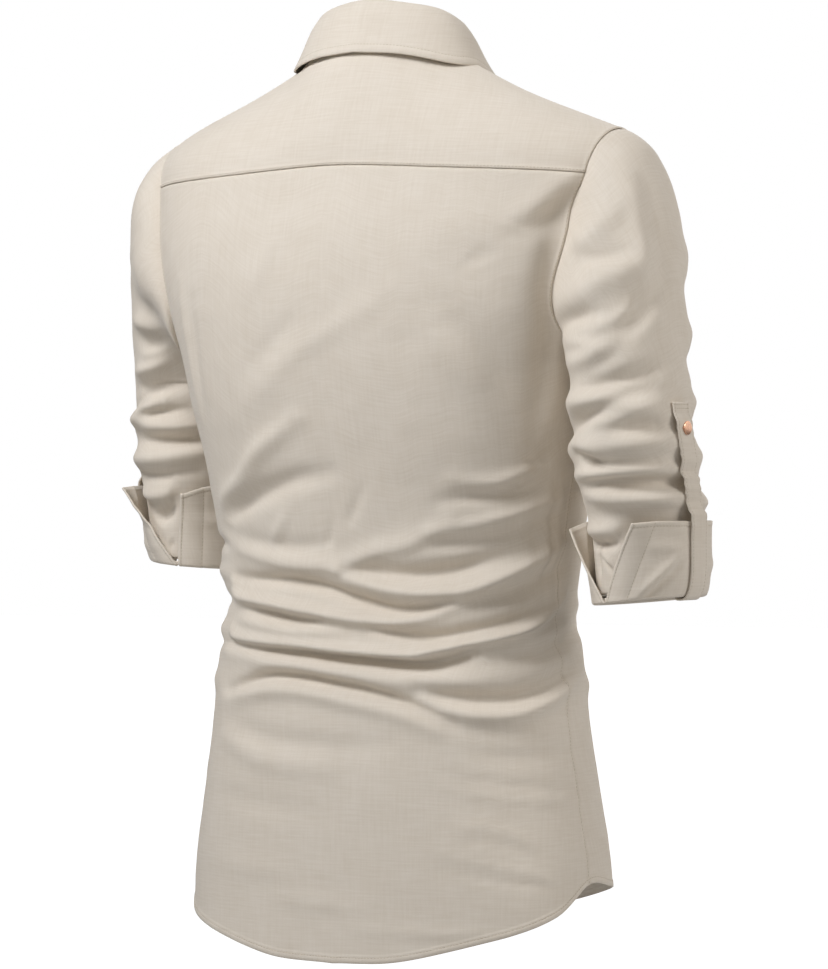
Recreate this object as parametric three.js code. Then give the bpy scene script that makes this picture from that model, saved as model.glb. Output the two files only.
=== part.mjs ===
import * as THREE from 'three';

// Shirt kurta with a turn-down collar, a back yoke and rolled sleeves held up by buttoned tabs.
// It is filled out as worn, with nothing inside. Millimetres, +Z up. The front faces -Y, so the
// right sleeve is at -X. The origin lies between the two high shoulder points, where a wearer's
// shoulders carry it.

// Cloth
const CLOTH = 1.2;
const DOUBLE_CLOTH = 1.7;
const SEAM_GAP = 0.4;
const LAID_ON = 0.5;

// Body lattice
const BACK_HALF_COLUMNS = 11;
const BACK_NECK_COLUMNS = 5;
const FRONT_HALF_COLUMNS = 10;
const FRONT_NECK_COLUMNS = 4;
const YOKE_ROWS = 8;
const FRONT_CHEST_ROWS = 4;
const YOKE_DIP = 8;
const NECK_SLIT_END = -330;
const NECK_SLIT_HALF_GAP = 0.4;

// Heights of the rows of each panel, from the top down
const BACK_LEVELS = [-90, -106, -122, -138, -154, -170, -187, -204, -221, -237, -250];
const FRONT_LEVELS = [-148, -164, -181, -198, -215, -233, -250];
const WAIST_LEVELS = [
  -266, -286, -308, -330, -352, -372, -390, -404, -416, -427, -438, -449, -460, -471, -482, -494,
  -508, -524, -544, -566,
];
const HEM_SHARES = [0.24, 0.48, 0.72, 0.9, 1];

// Round the body: angle 0 is the centre back, 90 the right side seam and 180 the centre front
const BODY_SECTIONS = [
  { z: -90, halfWidth: 216, backDepth: 102, frontDepth: 86, squareness: 2.6 },
  { z: -146, halfWidth: 212, backDepth: 118, frontDepth: 110, squareness: 2.6 },
  { z: -194, halfWidth: 201, backDepth: 124, frontDepth: 124, squareness: 2.6 },
  { z: -250, halfWidth: 184, backDepth: 123, frontDepth: 128, squareness: 2.6 },
  { z: -290, halfWidth: 175, backDepth: 118, frontDepth: 126, squareness: 2.6 },
  { z: -348, halfWidth: 164, backDepth: 106, frontDepth: 120, squareness: 2.5 },
  { z: -390, halfWidth: 158, backDepth: 99, frontDepth: 116, squareness: 2.4 },
  { z: -425, halfWidth: 153, backDepth: 96, frontDepth: 114, squareness: 2.4 },
  { z: -455, halfWidth: 149, backDepth: 97, frontDepth: 115, squareness: 2.4 },
  { z: -475, halfWidth: 154, backDepth: 100, frontDepth: 118, squareness: 2.4 },
  { z: -516, halfWidth: 158, backDepth: 105, frontDepth: 124, squareness: 2.4 },
  { z: -545, halfWidth: 161, backDepth: 108, frontDepth: 128, squareness: 2.4 },
  { z: -607, halfWidth: 170, backDepth: 109, frontDepth: 134, squareness: 2.4 },
  { z: -660, halfWidth: 179, backDepth: 108, frontDepth: 138, squareness: 2.4 },
  { z: -745, halfWidth: 184, backDepth: 106, frontDepth: 140, squareness: 2.4 },
];
const HEM_CURVE = [
  { angle: 0, z: -740 },
  { angle: 30, z: -736 },
  { angle: 60, z: -716 },
  { angle: 76, z: -699 },
  { angle: 90, z: -675 },
  { angle: 104, z: -679 },
  { angle: 122, z: -687 },
  { angle: 150, z: -705 },
  { angle: 180, z: -714 },
];
const ARMHOLE_EDGES = [
  { z: -98, back: 76, front: 104 },
  { z: -122, back: 73.5, front: 109 },
  { z: -146, back: 72, front: 112 },
  { z: -194, back: 70, front: 111 },
  { z: -222, back: 73.5, front: 106 },
  { z: -238, back: 80, front: 99 },
  { z: -250, back: 90, front: 90 },
];

// Neck seam: an egg-shaped ring that falls towards the front
const NECK = { halfWidth: 68, centreY: 6, back: 52, front: 60, sideZ: -2, backRise: 16, frontDrop: 76 };
const NECK_TO_SHOULDER_ANGLE = 112;
const SHOULDER_TIP = { x: 209, y: -24, z: -70 };

// How each column of the yoke and of the upper front leaves its top edge and meets its lower one.
// across runs from the centre line, 0, to the armhole, 1.
const YOKE_HANDLES = [
  { across: 0, startX: 0, startY: 14, startZ: -12, endX: 0, endY: -4, endZ: 45 },
  { across: 0.18, startX: 8, startY: 12, startZ: -9, endX: 0, endY: -5, endZ: 46 },
  { across: 0.36, startX: 6, startY: 18, startZ: 2, endX: 2, endY: -8, endZ: 52 },
  { across: 0.45, startX: 5, startY: 28, startZ: 22, endX: 2, endY: -9, endZ: 55 },
  { across: 0.73, startX: 2, startY: 32, startZ: 23, endX: 3, endY: -10, endZ: 52 },
  { across: 1, startX: 4, startY: 22, startZ: 22, endX: 5, endY: -8, endZ: 36 },
];
const FRONT_HANDLES = [
  { across: 0, startX: 0, startY: -12, startZ: -10, endX: 0, endY: 5, endZ: 30 },
  { across: 0.2, startX: 4, startY: -16, startZ: -9, endX: 0, endY: 6, endZ: 34 },
  { across: 0.4, startX: 5, startY: -24, startZ: -12, endX: 0, endY: 8, endZ: 48 },
  { across: 0.7, startX: 2, startY: -26, startZ: -15, endX: -2, endY: 8, endZ: 42 },
  { across: 1, startX: -4, startY: -14, startZ: -14, endX: 2, endY: 4, endZ: 30 },
];

// How folds are measured: the places tried along each one, how much a distance round the cloth
// counts beside one up it, the share at which a fold's ends stop tapering, and the girth of 1 degree.
const FOLD_REACH = { steps: 24, alongShare: 0.45, end: 0.04, bodyMmPerDegree: 4.6, sleeveMmPerDegree: 2.1 };

// Folds of the body cloth. Each runs over three places, given as an angle round the body and a
// height. height is how far it stands out, or sinks in where it is negative.
const BODY_FOLDS = [
  { a0: 4, z0: -414, a1: 30, z1: -424, a2: 52, z2: -420, height: -4.5, width: 8 },
  { a0: 6, z0: -427, a1: 38, z1: -446, a2: 88, z2: -402, height: 5, width: 8 },
  { a0: -48, z0: -430, a1: -10, z1: -436, a2: 46, z2: -449, height: -4.5, width: 8 },
  { a0: -64, z0: -434, a1: -20, z1: -452, a2: 40, z2: -462, height: 5.5, width: 9 },
  { a0: -60, z0: -450, a1: -34, z1: -462, a2: -6, z2: -466, height: -3.5, width: 8 },
  { a0: 12, z0: -472, a1: 44, z1: -474, a2: 84, z2: -456, height: -5, width: 8 },
  { a0: 14, z0: -482, a1: 46, z1: -488, a2: 92, z2: -468, height: 5, width: 9 },
  { a0: -70, z0: -474, a1: -36, z1: -484, a2: 8, z2: -494, height: 4, width: 10 },
  { a0: -30, z0: -506, a1: 10, z1: -512, a2: 58, z2: -504, height: 3, width: 12 },
  { a0: 70, z0: -130, a1: 55, z1: -190, a2: 56, z2: -270, height: -3, width: 12 },
  { a0: 122, z0: -402, a1: 152, z1: -420, a2: 196, z2: -414, height: 5, width: 10 },
  { a0: 116, z0: -422, a1: 150, z1: -440, a2: 200, z2: -436, height: -4, width: 9 },
  { a0: 108, z0: -446, a1: 150, z1: -462, a2: 210, z2: -458, height: 5, width: 10 },
  { a0: 160, z0: -476, a1: 200, z1: -486, a2: 244, z2: -470, height: 4, width: 11 },
];

// Sleeves: rings from the upper arm down. out is away from the body, angle 0 of each ring points
// out, 90 back, 180 to the body and 270 to the front.
const RING_COLUMNS = 28;
const RING_TOP_COLUMN = 4;
const HEAD_ROWS = 10;
const SLEEVE_STEP = 11;
const ARMHOLE_GAP = 0.5;
// Height above the cuff at which the sleeve's folds stand out whole
const FREE_OF_CUFF = 14;
// The sleeve's way out of the armhole, at the top and at the underarm, and how far it holds that way
const SLEEVE_LEAVES = { topOut: 0.8, underOut: 0.15, along: 0.5, topUp: -0.3, underUp: -1 };
const HEAD_HANDLES = { start: 0.31, end: 0.33 };
// Share of the head's rows over which folds grow from the seam, and how much the underarm damps them
const HEAD_FOLDS = { growth: 4, underarmDamping: 0.8 };
const SLEEVE_SIDES = {
  right: {
    sign: -1,
    rings: [
      { z: -270, out: 234, y: 30, halfOut: 45, halfDepth: 62 },
      { z: -300, out: 233, y: 27, halfOut: 46, halfDepth: 62 },
      { z: -330, out: 234, y: 20, halfOut: 46, halfDepth: 62 },
      { z: -362, out: 235, y: 11, halfOut: 45, halfDepth: 59 },
      { z: -385, out: 236, y: 6, halfOut: 42, halfDepth: 55 },
      { z: -440, out: 237, y: 0, halfOut: 41, halfDepth: 53 },
    ],
    end: -438,
    cuffTop: -378,
    cuffEnd: -445,
    slit: { low: 104, high: 112, topLow: 71, topHigh: 158, flareLow: 4, flareHigh: 12 },
    tabAngle: 7,
    tabTop: -283,
    folds: [
      { a0: 56, z0: -72, a1: 70, z1: -106, a2: 80, z2: -142, height: -4, width: 9 },
      { a0: 35, z0: -119, a1: 66, z1: -150, a2: 102, z2: -161, height: 4, width: 11 },
      { a0: 30, z0: -166, a1: 64, z1: -190, a2: 140, z2: -207, height: 6, width: 13 },
      { a0: 156, z0: -230, a1: 130, z1: -216, a2: 84, z2: -212, height: -7, width: 9 },
      { a0: 106, z0: -258, a1: 52, z1: -244, a2: 6, z2: -180, height: -5, width: 10 },
      { a0: 150, z0: -249, a1: 92, z1: -262, a2: 24, z2: -214, height: 5, width: 10 },
      { a0: 108, z0: -270, a1: 60, z1: -270, a2: 16, z2: -250, height: -5, width: 9 },
      { a0: 150, z0: -285, a1: 90, z1: -280, a2: 20, z2: -290, height: 5, width: 11 },
      { a0: 152, z0: -310, a1: 88, z1: -291, a2: 36, z2: -271, height: -5, width: 9 },
      { a0: 168, z0: -322, a1: 80, z1: -318, a2: -20, z2: -312, height: 5, width: 11 },
      { a0: 128, z0: -322, a1: 108, z1: -328, a2: 92, z2: -333, height: -6, width: 8 },
      { a0: 152, z0: -343, a1: 70, z1: -338, a2: 10, z2: -336, height: 4, width: 8 },
      { a0: 116, z0: -349, a1: 62, z1: -345, a2: -10, z2: -348, height: -6, width: 8 },
      { a0: 120, z0: -357, a1: 60, z1: -363, a2: -6, z2: -356, height: 5, width: 8 },
      { a0: 250, z0: -282, a1: 280, z1: -276, a2: 330, z2: -284, height: 5, width: 10 },
      { a0: 230, z0: -306, a1: 280, z1: -298, a2: 340, z2: -304, height: -5, width: 9 },
      { a0: 220, z0: -326, a1: 270, z1: -320, a2: 340, z2: -328, height: 5, width: 10 },
      { a0: 214, z0: -346, a1: 280, z1: -342, a2: 340, z2: -348, height: -5, width: 9 },
    ],
  },
  left: {
    sign: 1,
    rings: [
      { z: -262, out: 234, y: -50, halfOut: 45, halfDepth: 61 },
      { z: -300, out: 236, y: -58, halfOut: 46, halfDepth: 61 },
      { z: -330, out: 236, y: -61, halfOut: 47, halfDepth: 61 },
      { z: -352, out: 236, y: -63, halfOut: 43, halfDepth: 57 },
      { z: -372, out: 236, y: -65, halfOut: 41, halfDepth: 54 },
      { z: -420, out: 236, y: -70, halfOut: 41, halfDepth: 53 },
    ],
    end: -414,
    cuffTop: -350,
    cuffEnd: -420,
    slit: { low: 97, high: 104, topLow: 44, topHigh: 111, flareLow: 12, flareHigh: 3 },
    tabAngle: 6,
    tabTop: -262,
    folds: [
      { a0: 66, z0: -222, a1: 88, z1: -230, a2: 116, z2: -228, height: -6, width: 9 },
      { a0: 60, z0: -252, a1: 84, z1: -252, a2: 116, z2: -238, height: 5, width: 9 },
      { a0: 56, z0: -266, a1: 96, z1: -266, a2: 140, z2: -258, height: -5, width: 9 },
      { a0: 40, z0: -300, a1: 66, z1: -284, a2: 100, z2: -276, height: 5, width: 9 },
      { a0: 56, z0: -294, a1: 100, z1: -302, a2: 140, z2: -297, height: 5, width: 9 },
      { a0: 60, z0: -310, a1: 100, z1: -312, a2: 150, z2: -309, height: -5, width: 8 },
      { a0: 36, z0: -325, a1: 84, z1: -328, a2: 140, z2: -320, height: 6, width: 9 },
      { a0: 230, z0: -286, a1: 280, z1: -278, a2: 330, z2: -288, height: 5, width: 10 },
      { a0: 236, z0: -308, a1: 280, z1: -302, a2: 340, z2: -310, height: -5, width: 9 },
      { a0: 220, z0: -330, a1: 280, z1: -324, a2: 340, z2: -328, height: 5, width: 9 },
    ],
  },
};

// Rolled cuffs: room between sleeve and cuff, and the rows of the turned-up band
const CUFF_ROOM = { bottom: 3.2, top: 6 };
const CUFF_COLUMNS = 24;
const FLARE_SPREAD = 0.055;
const CUFF_BAND_SHARES = [1, 0.72, 0.46, 0.22, 0.06];
// How much lower the cuff's corners hang at the slit
const CUFF_CORNER_DROP = { high: 7, low: 2 };
const CUFF_TURN = [
  { inward: 1.6, up: 0.4 },
  { inward: 4.4, up: 0.2 },
  { inward: 6, up: 3 },
];
const TAB = { width: 23, sleeveRows: 8, buttonRow: 2, restsOver: 14, leavesSleeve: 12, sleeveRadius: 54 };
// The tab's way over the cuff: share of the cuff's height, how far above that and off the cuff's face
const TAB_OVER_CUFF = [
  { share: 1, up: 1, off: 0.6 },
  { share: 0.75, up: 0, off: 0.4 },
  { share: 0.5, up: 0, off: 0.4 },
  { share: 0.25, up: 0, off: 0.4 },
  { share: 0, up: 3, off: 0.3 },
  { share: 0, up: -2, off: -1 },
  { share: 0, up: -3.6, off: -4 },
];
// The tab's return inside the cuff: how far outside the sleeve's form and above the cuff's end
const TAB_INSIDE = [
  { out: -3.6, up: -2.8 },
  { out: -6.6, up: 0 },
  { out: -7, up: 9 },
];
const BUTTON = { radius: 5.2, thickness: 2.4, rim: 0.7, sides: 14, seat: 0.6 };

// Collar: heights and reach at places round the neck, 0 at the centre back
const STAND_COLUMNS = 26;
const STAND_INSET = 2.8;
const STAND_CLEAR = 1.1;
const STAND_ROWS = 3;
const STAND_HEIGHT = { back: 37, front: 27 };
const STAND_LEAN = 6;
const STAND_OVERLAP = 14;
// The overlapping end moves outwards, by out, over some degrees from an angle
const STAND_WRAP = { from: 150, over: 30, out: 2.6 };
const LEAF_COLUMNS = 26;
const LEAF_EDGE = [
  { around: 0, out: 0, y: 75, z: 12 },
  { around: 30, out: 42, y: 67, z: 9 },
  { around: 60, out: 76, y: 42, z: 1 },
  { around: 90, out: 87, y: 4, z: -8 },
  { around: 120, out: 84, y: -42, z: -24 },
  { around: 145, out: 71, y: -80, z: -48 },
  { around: 163, out: 58, y: -102, z: -74 },
];
const LEAF_PROFILE = [
  { share: 0, lift: 1.2, bulge: 0 },
  { share: 0.01, lift: 3.3, bulge: 0.8 },
  { share: 0.05, lift: 3.8, bulge: 4.2 },
  { share: 0.3, lift: 1, bulge: 5.2 },
  { share: 0.64, lift: 0, bulge: 2.6 },
  { share: 1, lift: 0, bulge: 0 },
];
const PLACKET = { halfWidth: 16, rows: 16, top: -88, bottom: -344, proud: 1.4 };
const FRONT_BUTTON_HEIGHTS = [-118, -178, -238, -298];

const LINEN = { color: 0xd9cfbd, roughness: 0.9, metalness: 0 };
const COPPER = { color: 0xb8734f, roughness: 0.34, metalness: 0.9 };

const DEGREE = Math.PI / 180;
const UP = new THREE.Vector3(0, 0, 1);

function vector(x, y, z) {
  return new THREE.Vector3(x, y, z);
}

function clamp(value, low, high) {
  return Math.min(Math.max(value, low), high);
}

function mix(a, b, share) {
  return a + (b - a) * share;
}

/** Smooth value of one column of a table, at a place along its key column. */
function read(table, key, column, at) {
  const last = table.length - 1;
  const direction = Math.sign(table[last][key] - table[0][key]);
  let row = 0;
  while (row < last - 1 && direction * (at - table[row + 1][key]) > 0) {
    row += 1;
  }
  const slope = (index) => {
    const before = table[Math.max(index - 1, 0)];
    const after = table[Math.min(index + 1, last)];
    return (after[column] - before[column]) / (after[key] - before[key]);
  };
  const start = table[row];
  const end = table[row + 1];
  const span = end[key] - start[key];
  const t = clamp((at - start[key]) / span, 0, 1);
  const t2 = t * t;
  const t3 = t2 * t;
  return (
    (2 * t3 - 3 * t2 + 1) * start[column] +
    (t3 - 2 * t2 + t) * span * slope(row) +
    (3 * t2 - 2 * t3) * end[column] +
    (t3 - t2) * span * slope(row + 1)
  );
}

function bezier(start, startHandle, endHandle, end, t) {
  const s = 1 - t;
  return vector(0, 0, 0)
    .addScaledVector(start, s * s * s)
    .addScaledVector(startHandle, 3 * s * s * t)
    .addScaledVector(endHandle, 3 * s * t * t)
    .addScaledVector(end, t * t * t);
}

/** Sum of the folds at one place; mmPerDegree turns the angles into lengths along the cloth. */
function foldHeight(folds, angle, z, mmPerDegree) {
  let total = 0;
  for (const fold of folds) {
    let nearest = Infinity;
    let along = 0;
    for (let step = 0; step <= FOLD_REACH.steps; step += 1) {
      const t = step / FOLD_REACH.steps;
      const s = 1 - t;
      const a = s * s * fold.a0 + 2 * s * t * fold.a1 + t * t * fold.a2;
      const turned = ((angle - a + 540) % 360) - 180;
      const rise = z - (s * s * fold.z0 + 2 * s * t * fold.z1 + t * t * fold.z2);
      const distance = Math.hypot(turned * mmPerDegree * FOLD_REACH.alongShare, rise);
      if (distance < nearest) {
        nearest = distance;
        along = t;
      }
    }
    const taper = Math.sqrt(Math.sin(Math.PI * clamp(along, FOLD_REACH.end, 1 - FOLD_REACH.end)));
    total += fold.height * taper * Math.exp(-((nearest / fold.width) ** 2));
  }
  return total;
}

/** Thin wall over a net of points: outer faces, inner faces and the rims between them. */
function wallGeometry(points, normals, cells, thickness) {
  const count = points.length;
  const positions = [];
  for (const point of points) {
    positions.push(point.x, point.y, point.z);
  }
  points.forEach((point, index) => {
    const inner = point.clone().addScaledVector(normals[index], -thickness);
    positions.push(inner.x, inner.y, inner.z);
  });
  const faces = [];
  const edges = new Map();
  for (const [a, b, c, d] of cells) {
    faces.push(a, b, c, a, c, d);
    faces.push(a + count, c + count, b + count, a + count, d + count, c + count);
    for (const [from, to] of [[a, b], [b, c], [c, d], [d, a]]) {
      edges.set(`${from},${to}`, [from, to]);
    }
  }
  for (const [from, to] of edges.values()) {
    if (!edges.has(`${to},${from}`)) {
      faces.push(to, from, from + count, to, from + count, to + count);
    }
  }
  const geometry = new THREE.BufferGeometry();
  geometry.setAttribute('position', new THREE.Float32BufferAttribute(positions, 3));
  geometry.setIndex(faces);
  geometry.computeVertexNormals();
  return geometry;
}

/** Normals of a net of rows of points, facing away from the given side. */
function netNormals(rows, closed, outward) {
  return rows.map((row, i) =>
    row.map((point, j) => {
      const last = row.length - 1;
      const before = closed ? row[(j + last) % row.length] : row[Math.max(j - 1, 0)];
      const after = closed ? row[(j + 1) % row.length] : row[Math.min(j + 1, last)];
      const above = rows[Math.max(i - 1, 0)][j];
      const below = rows[Math.min(i + 1, rows.length - 1)][j];
      const across = after.clone().sub(before);
      const down = below.clone().sub(above);
      return down.cross(across).multiplyScalar(outward).normalize();
    }),
  );
}

/** Rows of points as one wall. Edges named in seams are drawn back by half the seam gap. */
function sheetGeometry(rows, normals, { closed = false, outward = 1, thickness = CLOTH, seams = {} }) {
  const moved = rows.map((row) => row.map((point) => point.clone()));
  const height = rows.length;
  const width = rows[0].length;
  const drawBack = (i, j, iInside, jInside) => {
    const inside = rows[iInside][jInside].clone().sub(rows[i][j]).setLength(SEAM_GAP / 2);
    moved[i][j].add(inside);
  };
  for (let j = 0; j < width; j += 1) {
    if (seams.top) drawBack(0, j, 1, j);
    if (seams.bottom) drawBack(height - 1, j, height - 2, j);
  }
  for (let i = 0; i < height; i += 1) {
    if (seams.sides) {
      drawBack(i, 0, i, 1);
      drawBack(i, width - 1, i, width - 2);
    }
  }
  const cells = [];
  const columns = closed ? width : width - 1;
  for (let i = 0; i < height - 1; i += 1) {
    for (let j = 0; j < columns; j += 1) {
      const next = (j + 1) % width;
      const corners = [i * width + j, (i + 1) * width + j, (i + 1) * width + next, i * width + next];
      cells.push(outward > 0 ? corners : corners.reverse());
    }
  }
  return wallGeometry(moved.flat(), normals.flat(), cells, thickness);
}

// Body surface

function bodyRadius(z, angle) {
  const s = Math.abs(Math.sin(angle * DEGREE));
  const c = Math.cos(angle * DEGREE);
  const depth = read(BODY_SECTIONS, 'z', c >= 0 ? 'backDepth' : 'frontDepth', z);
  const power = read(BODY_SECTIONS, 'z', 'squareness', z);
  const sum = (s / read(BODY_SECTIONS, 'z', 'halfWidth', z)) ** power + (Math.abs(c) / depth) ** power;
  return sum ** (-1 / power);
}

function bodyPoint(z, angle) {
  const radius = bodyRadius(z, angle);
  return vector(-radius * Math.sin(angle * DEGREE), radius * Math.cos(angle * DEGREE), z);
}

/** A body point moved out or in by the folds that cross it. */
function foldedBodyPoint(z, angle) {
  const point = bodyPoint(z, angle);
  const ahead = bodyPoint(z, angle + 1);
  const outward = ahead.sub(point).cross(UP).normalize();
  return point.addScaledVector(outward, foldHeight(BODY_FOLDS, angle, z, FOLD_REACH.bodyMmPerDegree));
}

/** Angles that share the girth between two angles into equal lengths. */
function evenAngles(z, from, to, count) {
  const steps = 80;
  const lengths = [0];
  for (let step = 1; step <= steps; step += 1) {
    const here = bodyPoint(z, mix(from, to, step / steps));
    const before = bodyPoint(z, mix(from, to, (step - 1) / steps));
    lengths.push(lengths[step - 1] + here.distanceTo(before));
  }
  const angles = [];
  for (let index = 0; index <= count; index += 1) {
    const wanted = (lengths[steps] * index) / count;
    let step = 1;
    while (step < steps && lengths[step] < wanted) {
      step += 1;
    }
    const share = (wanted - lengths[step - 1]) / (lengths[step] - lengths[step - 1]);
    angles.push(mix(from, to, (step - 1 + share) / steps));
  }
  return angles;
}

function neckPoint(angle) {
  const c = Math.cos(angle * DEGREE);
  const depth = c >= 0 ? NECK.back : NECK.front;
  const rise = c >= 0 ? NECK.backRise : -NECK.frontDrop;
  return vector(
    -NECK.halfWidth * Math.sin(angle * DEGREE),
    NECK.centreY + depth * c,
    NECK.sideZ + rise * c * c,
  );
}

/** Point on the front shoulder seam, from the neck, 0, to the armhole, 1, on the right side. */
function shoulderSeamPoint(share) {
  const neck = neckPoint(NECK_TO_SHOULDER_ANGLE);
  const tip = vector(-SHOULDER_TIP.x, SHOULDER_TIP.y, SHOULDER_TIP.z);
  return neck.lerp(tip, share);
}

function handle(table, across, side, end) {
  return vector(
    -side * read(table, 'across', `${end}X`, across),
    read(table, 'across', `${end}Y`, across),
    read(table, 'across', `${end}Z`, across),
  );
}

function mirrored(point, side) {
  return vector(point.x * side, point.y, point.z);
}

/** Rows of the back, from the front shoulder seams over the shoulders and down to the hem. */
function backLattice() {
  const rows = [];
  const half = BACK_HALF_COLUMNS;
  const last = BACK_LEVELS.length - 1;
  const levelRow = (index) => {
    const dip = YOKE_DIP * (1 - index / last);
    const edge = read(ARMHOLE_EDGES, 'z', 'back', BACK_LEVELS[index] - dip);
    return evenAngles(BACK_LEVELS[index], -edge, edge, 2 * half).map((angle) => {
      const z = BACK_LEVELS[index] - dip * (angle / edge) ** 2;
      return foldedBodyPoint(z, angle);
    });
  };
  const seam = levelRow(0);
  const top = [];
  for (let j = -half; j <= half; j += 1) {
    const place = Math.abs(j);
    const side = j < 0 ? -1 : 1;
    const onNeck = place <= BACK_NECK_COLUMNS;
    const shoulderShare = (place - BACK_NECK_COLUMNS) / (half - BACK_NECK_COLUMNS);
    const point = onNeck
      ? neckPoint((NECK_TO_SHOULDER_ANGLE * place) / BACK_NECK_COLUMNS)
      : shoulderSeamPoint(shoulderShare);
    top.push(mirrored(point, side));
  }
  for (let i = 0; i < YOKE_ROWS; i += 1) {
    rows.push(
      top.map((start, index) => {
        const j = index - half;
        const across = Math.abs(j) / half;
        const side = Math.sign(j);
        const startHandle = handle(YOKE_HANDLES, across, side, 'start').add(start);
        const endHandle = handle(YOKE_HANDLES, across, side, 'end').add(seam[index]);
        return bezier(start, startHandle, endHandle, seam[index], i / YOKE_ROWS);
      }),
    );
  }
  for (let index = 0; index <= last; index += 1) {
    rows.push(levelRow(index));
  }
  rows.push(...lowerRows(-90, 90, 2 * half));
  return rows;
}

/** Rows below the armholes, from the underarm level to the curved hem. */
function lowerRows(from, to, count) {
  const rows = WAIST_LEVELS.map((z) =>
    evenAngles(z, from, to, count).map((angle) => foldedBodyPoint(z, angle)),
  );
  const start = WAIST_LEVELS[WAIST_LEVELS.length - 1];
  for (const share of HEM_SHARES) {
    rows.push(
      evenAngles(mix(start, HEM_CURVE[0].z, share), from, to, count).map((angle) => {
        const turned = Math.abs(((angle + 540) % 360) - 180);
        const z = mix(start, read(HEM_CURVE, 'angle', 'z', turned), share);
        return foldedBodyPoint(z, angle);
      }),
    );
  }
  return rows;
}

/** Rows of the front, from the neck and shoulder seams down to the hem. */
function frontLattice() {
  const rows = [];
  const half = FRONT_HALF_COLUMNS;
  const levelRow = (index) => {
    const edge = read(ARMHOLE_EDGES, 'z', 'front', FRONT_LEVELS[index]);
    return evenAngles(FRONT_LEVELS[index], edge, 360 - edge, 2 * half).map((angle) =>
      foldedBodyPoint(FRONT_LEVELS[index], angle),
    );
  };
  const chest = levelRow(0);
  const top = [];
  for (let j = -half; j <= half; j += 1) {
    const place = Math.abs(j);
    const side = j < 0 ? 1 : -1;
    const onNeck = place <= FRONT_NECK_COLUMNS;
    const shoulderShare = (place - FRONT_NECK_COLUMNS) / (half - FRONT_NECK_COLUMNS);
    const point = onNeck
      ? neckPoint(mix(180, NECK_TO_SHOULDER_ANGLE, place / FRONT_NECK_COLUMNS))
      : shoulderSeamPoint(shoulderShare);
    top.push(mirrored(point, side));
  }
  for (let i = 0; i < FRONT_CHEST_ROWS; i += 1) {
    rows.push(
      top.map((start, index) => {
        const j = index - half;
        const across = Math.abs(j) / half;
        const side = -Math.sign(j);
        const startHandle = handle(FRONT_HANDLES, across, side, 'start').add(start);
        const endHandle = handle(FRONT_HANDLES, across, side, 'end').add(chest[index]);
        return bezier(start, startHandle, endHandle, chest[index], i / FRONT_CHEST_ROWS);
      }),
    );
  }
  for (let index = 0; index < FRONT_LEVELS.length; index += 1) {
    rows.push(levelRow(index));
  }
  rows.push(...lowerRows(90, 270, 2 * half));
  return rows;
}

/** A lattice part whose upper rows end at the armholes and whose lower rows end at the side seams. */
function panelGeometry(rows, normals, outward) {
  return sheetGeometry(rows, normals, { outward, seams: { top: true, sides: true } });
}

/** The front panel: its centre column is split from the neck to the end of the slit. */
function frontGeometry(rows, normals, outward) {
  const width = rows[0].length;
  const centre = (width - 1) / 2;
  const points = rows.flat().map((point) => point.clone());
  const allNormals = normals.flat();
  const slitRows = rows.filter((row) => row[centre].z > NECK_SLIT_END).length;
  const twins = [];
  for (let i = 0; i < slitRows; i += 1) {
    const index = i * width + centre;
    twins.push(points.length);
    points.push(points[index].clone());
    allNormals.push(allNormals[index]);
    points[index].x -= NECK_SLIT_HALF_GAP;
    points[points.length - 1].x += NECK_SLIT_HALF_GAP;
  }
  for (let i = 0; i < rows.length; i += 1) {
    for (const [edge, inside] of [[0, 1], [width - 1, width - 2]]) {
      const step = rows[i][inside].clone().sub(rows[i][edge]).setLength(SEAM_GAP / 2);
      points[i * width + edge].add(step);
    }
  }
  for (let j = 0; j < width; j += 1) {
    const step = rows[1][j].clone().sub(rows[0][j]).setLength(SEAM_GAP / 2);
    points[j].add(step);
    if (j === centre) points[twins[0]].add(step);
  }
  const cells = [];
  for (let i = 0; i < rows.length - 1; i += 1) {
    for (let j = 0; j < width - 1; j += 1) {
      const corner = (row, column) => {
        const split = j >= centre && column === centre && row < slitRows;
        return split ? twins[row] : row * width + column;
      };
      const corners = [corner(i, j), corner(i + 1, j), corner(i + 1, j + 1), corner(i, j + 1)];
      cells.push(outward > 0 ? corners : corners.reverse());
    }
  }
  return wallGeometry(points, allNormals, cells, CLOTH);
}

// Sleeves

function sleeveRing(side, z, angle) {
  const out = read(side.rings, 'z', 'out', z);
  const halfOut = read(side.rings, 'z', 'halfOut', z);
  const halfDepth = read(side.rings, 'z', 'halfDepth', z);
  return vector(
    side.sign * (out + halfOut * Math.cos(angle * DEGREE)),
    read(side.rings, 'z', 'y', z) + halfDepth * Math.sin(angle * DEGREE),
    z,
  );
}

function sleeveOutward(side, z, angle) {
  const halfOut = read(side.rings, 'z', 'halfOut', z);
  const halfDepth = read(side.rings, 'z', 'halfDepth', z);
  return vector(
    (side.sign * Math.cos(angle * DEGREE)) / halfOut,
    Math.sin(angle * DEGREE) / halfDepth,
    0,
  ).normalize();
}

/** The armhole edge of the body, from the front of the shoulder seam over the top and round. */
function armholeRing(back, front, side) {
  const backColumn = side.sign < 0 ? back[0].length - 1 : 0;
  const frontColumn = side.sign < 0 ? 0 : front[0].length - 1;
  const underarm = YOKE_ROWS + BACK_LEVELS.length - 1;
  const ring = [];
  for (let i = 0; i <= underarm; i += 1) {
    ring.push(back[i][backColumn].clone());
  }
  for (let i = FRONT_CHEST_ROWS + FRONT_LEVELS.length - 2; i > 0; i -= 1) {
    ring.push(front[i][frontColumn].clone());
  }
  return ring;
}

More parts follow.
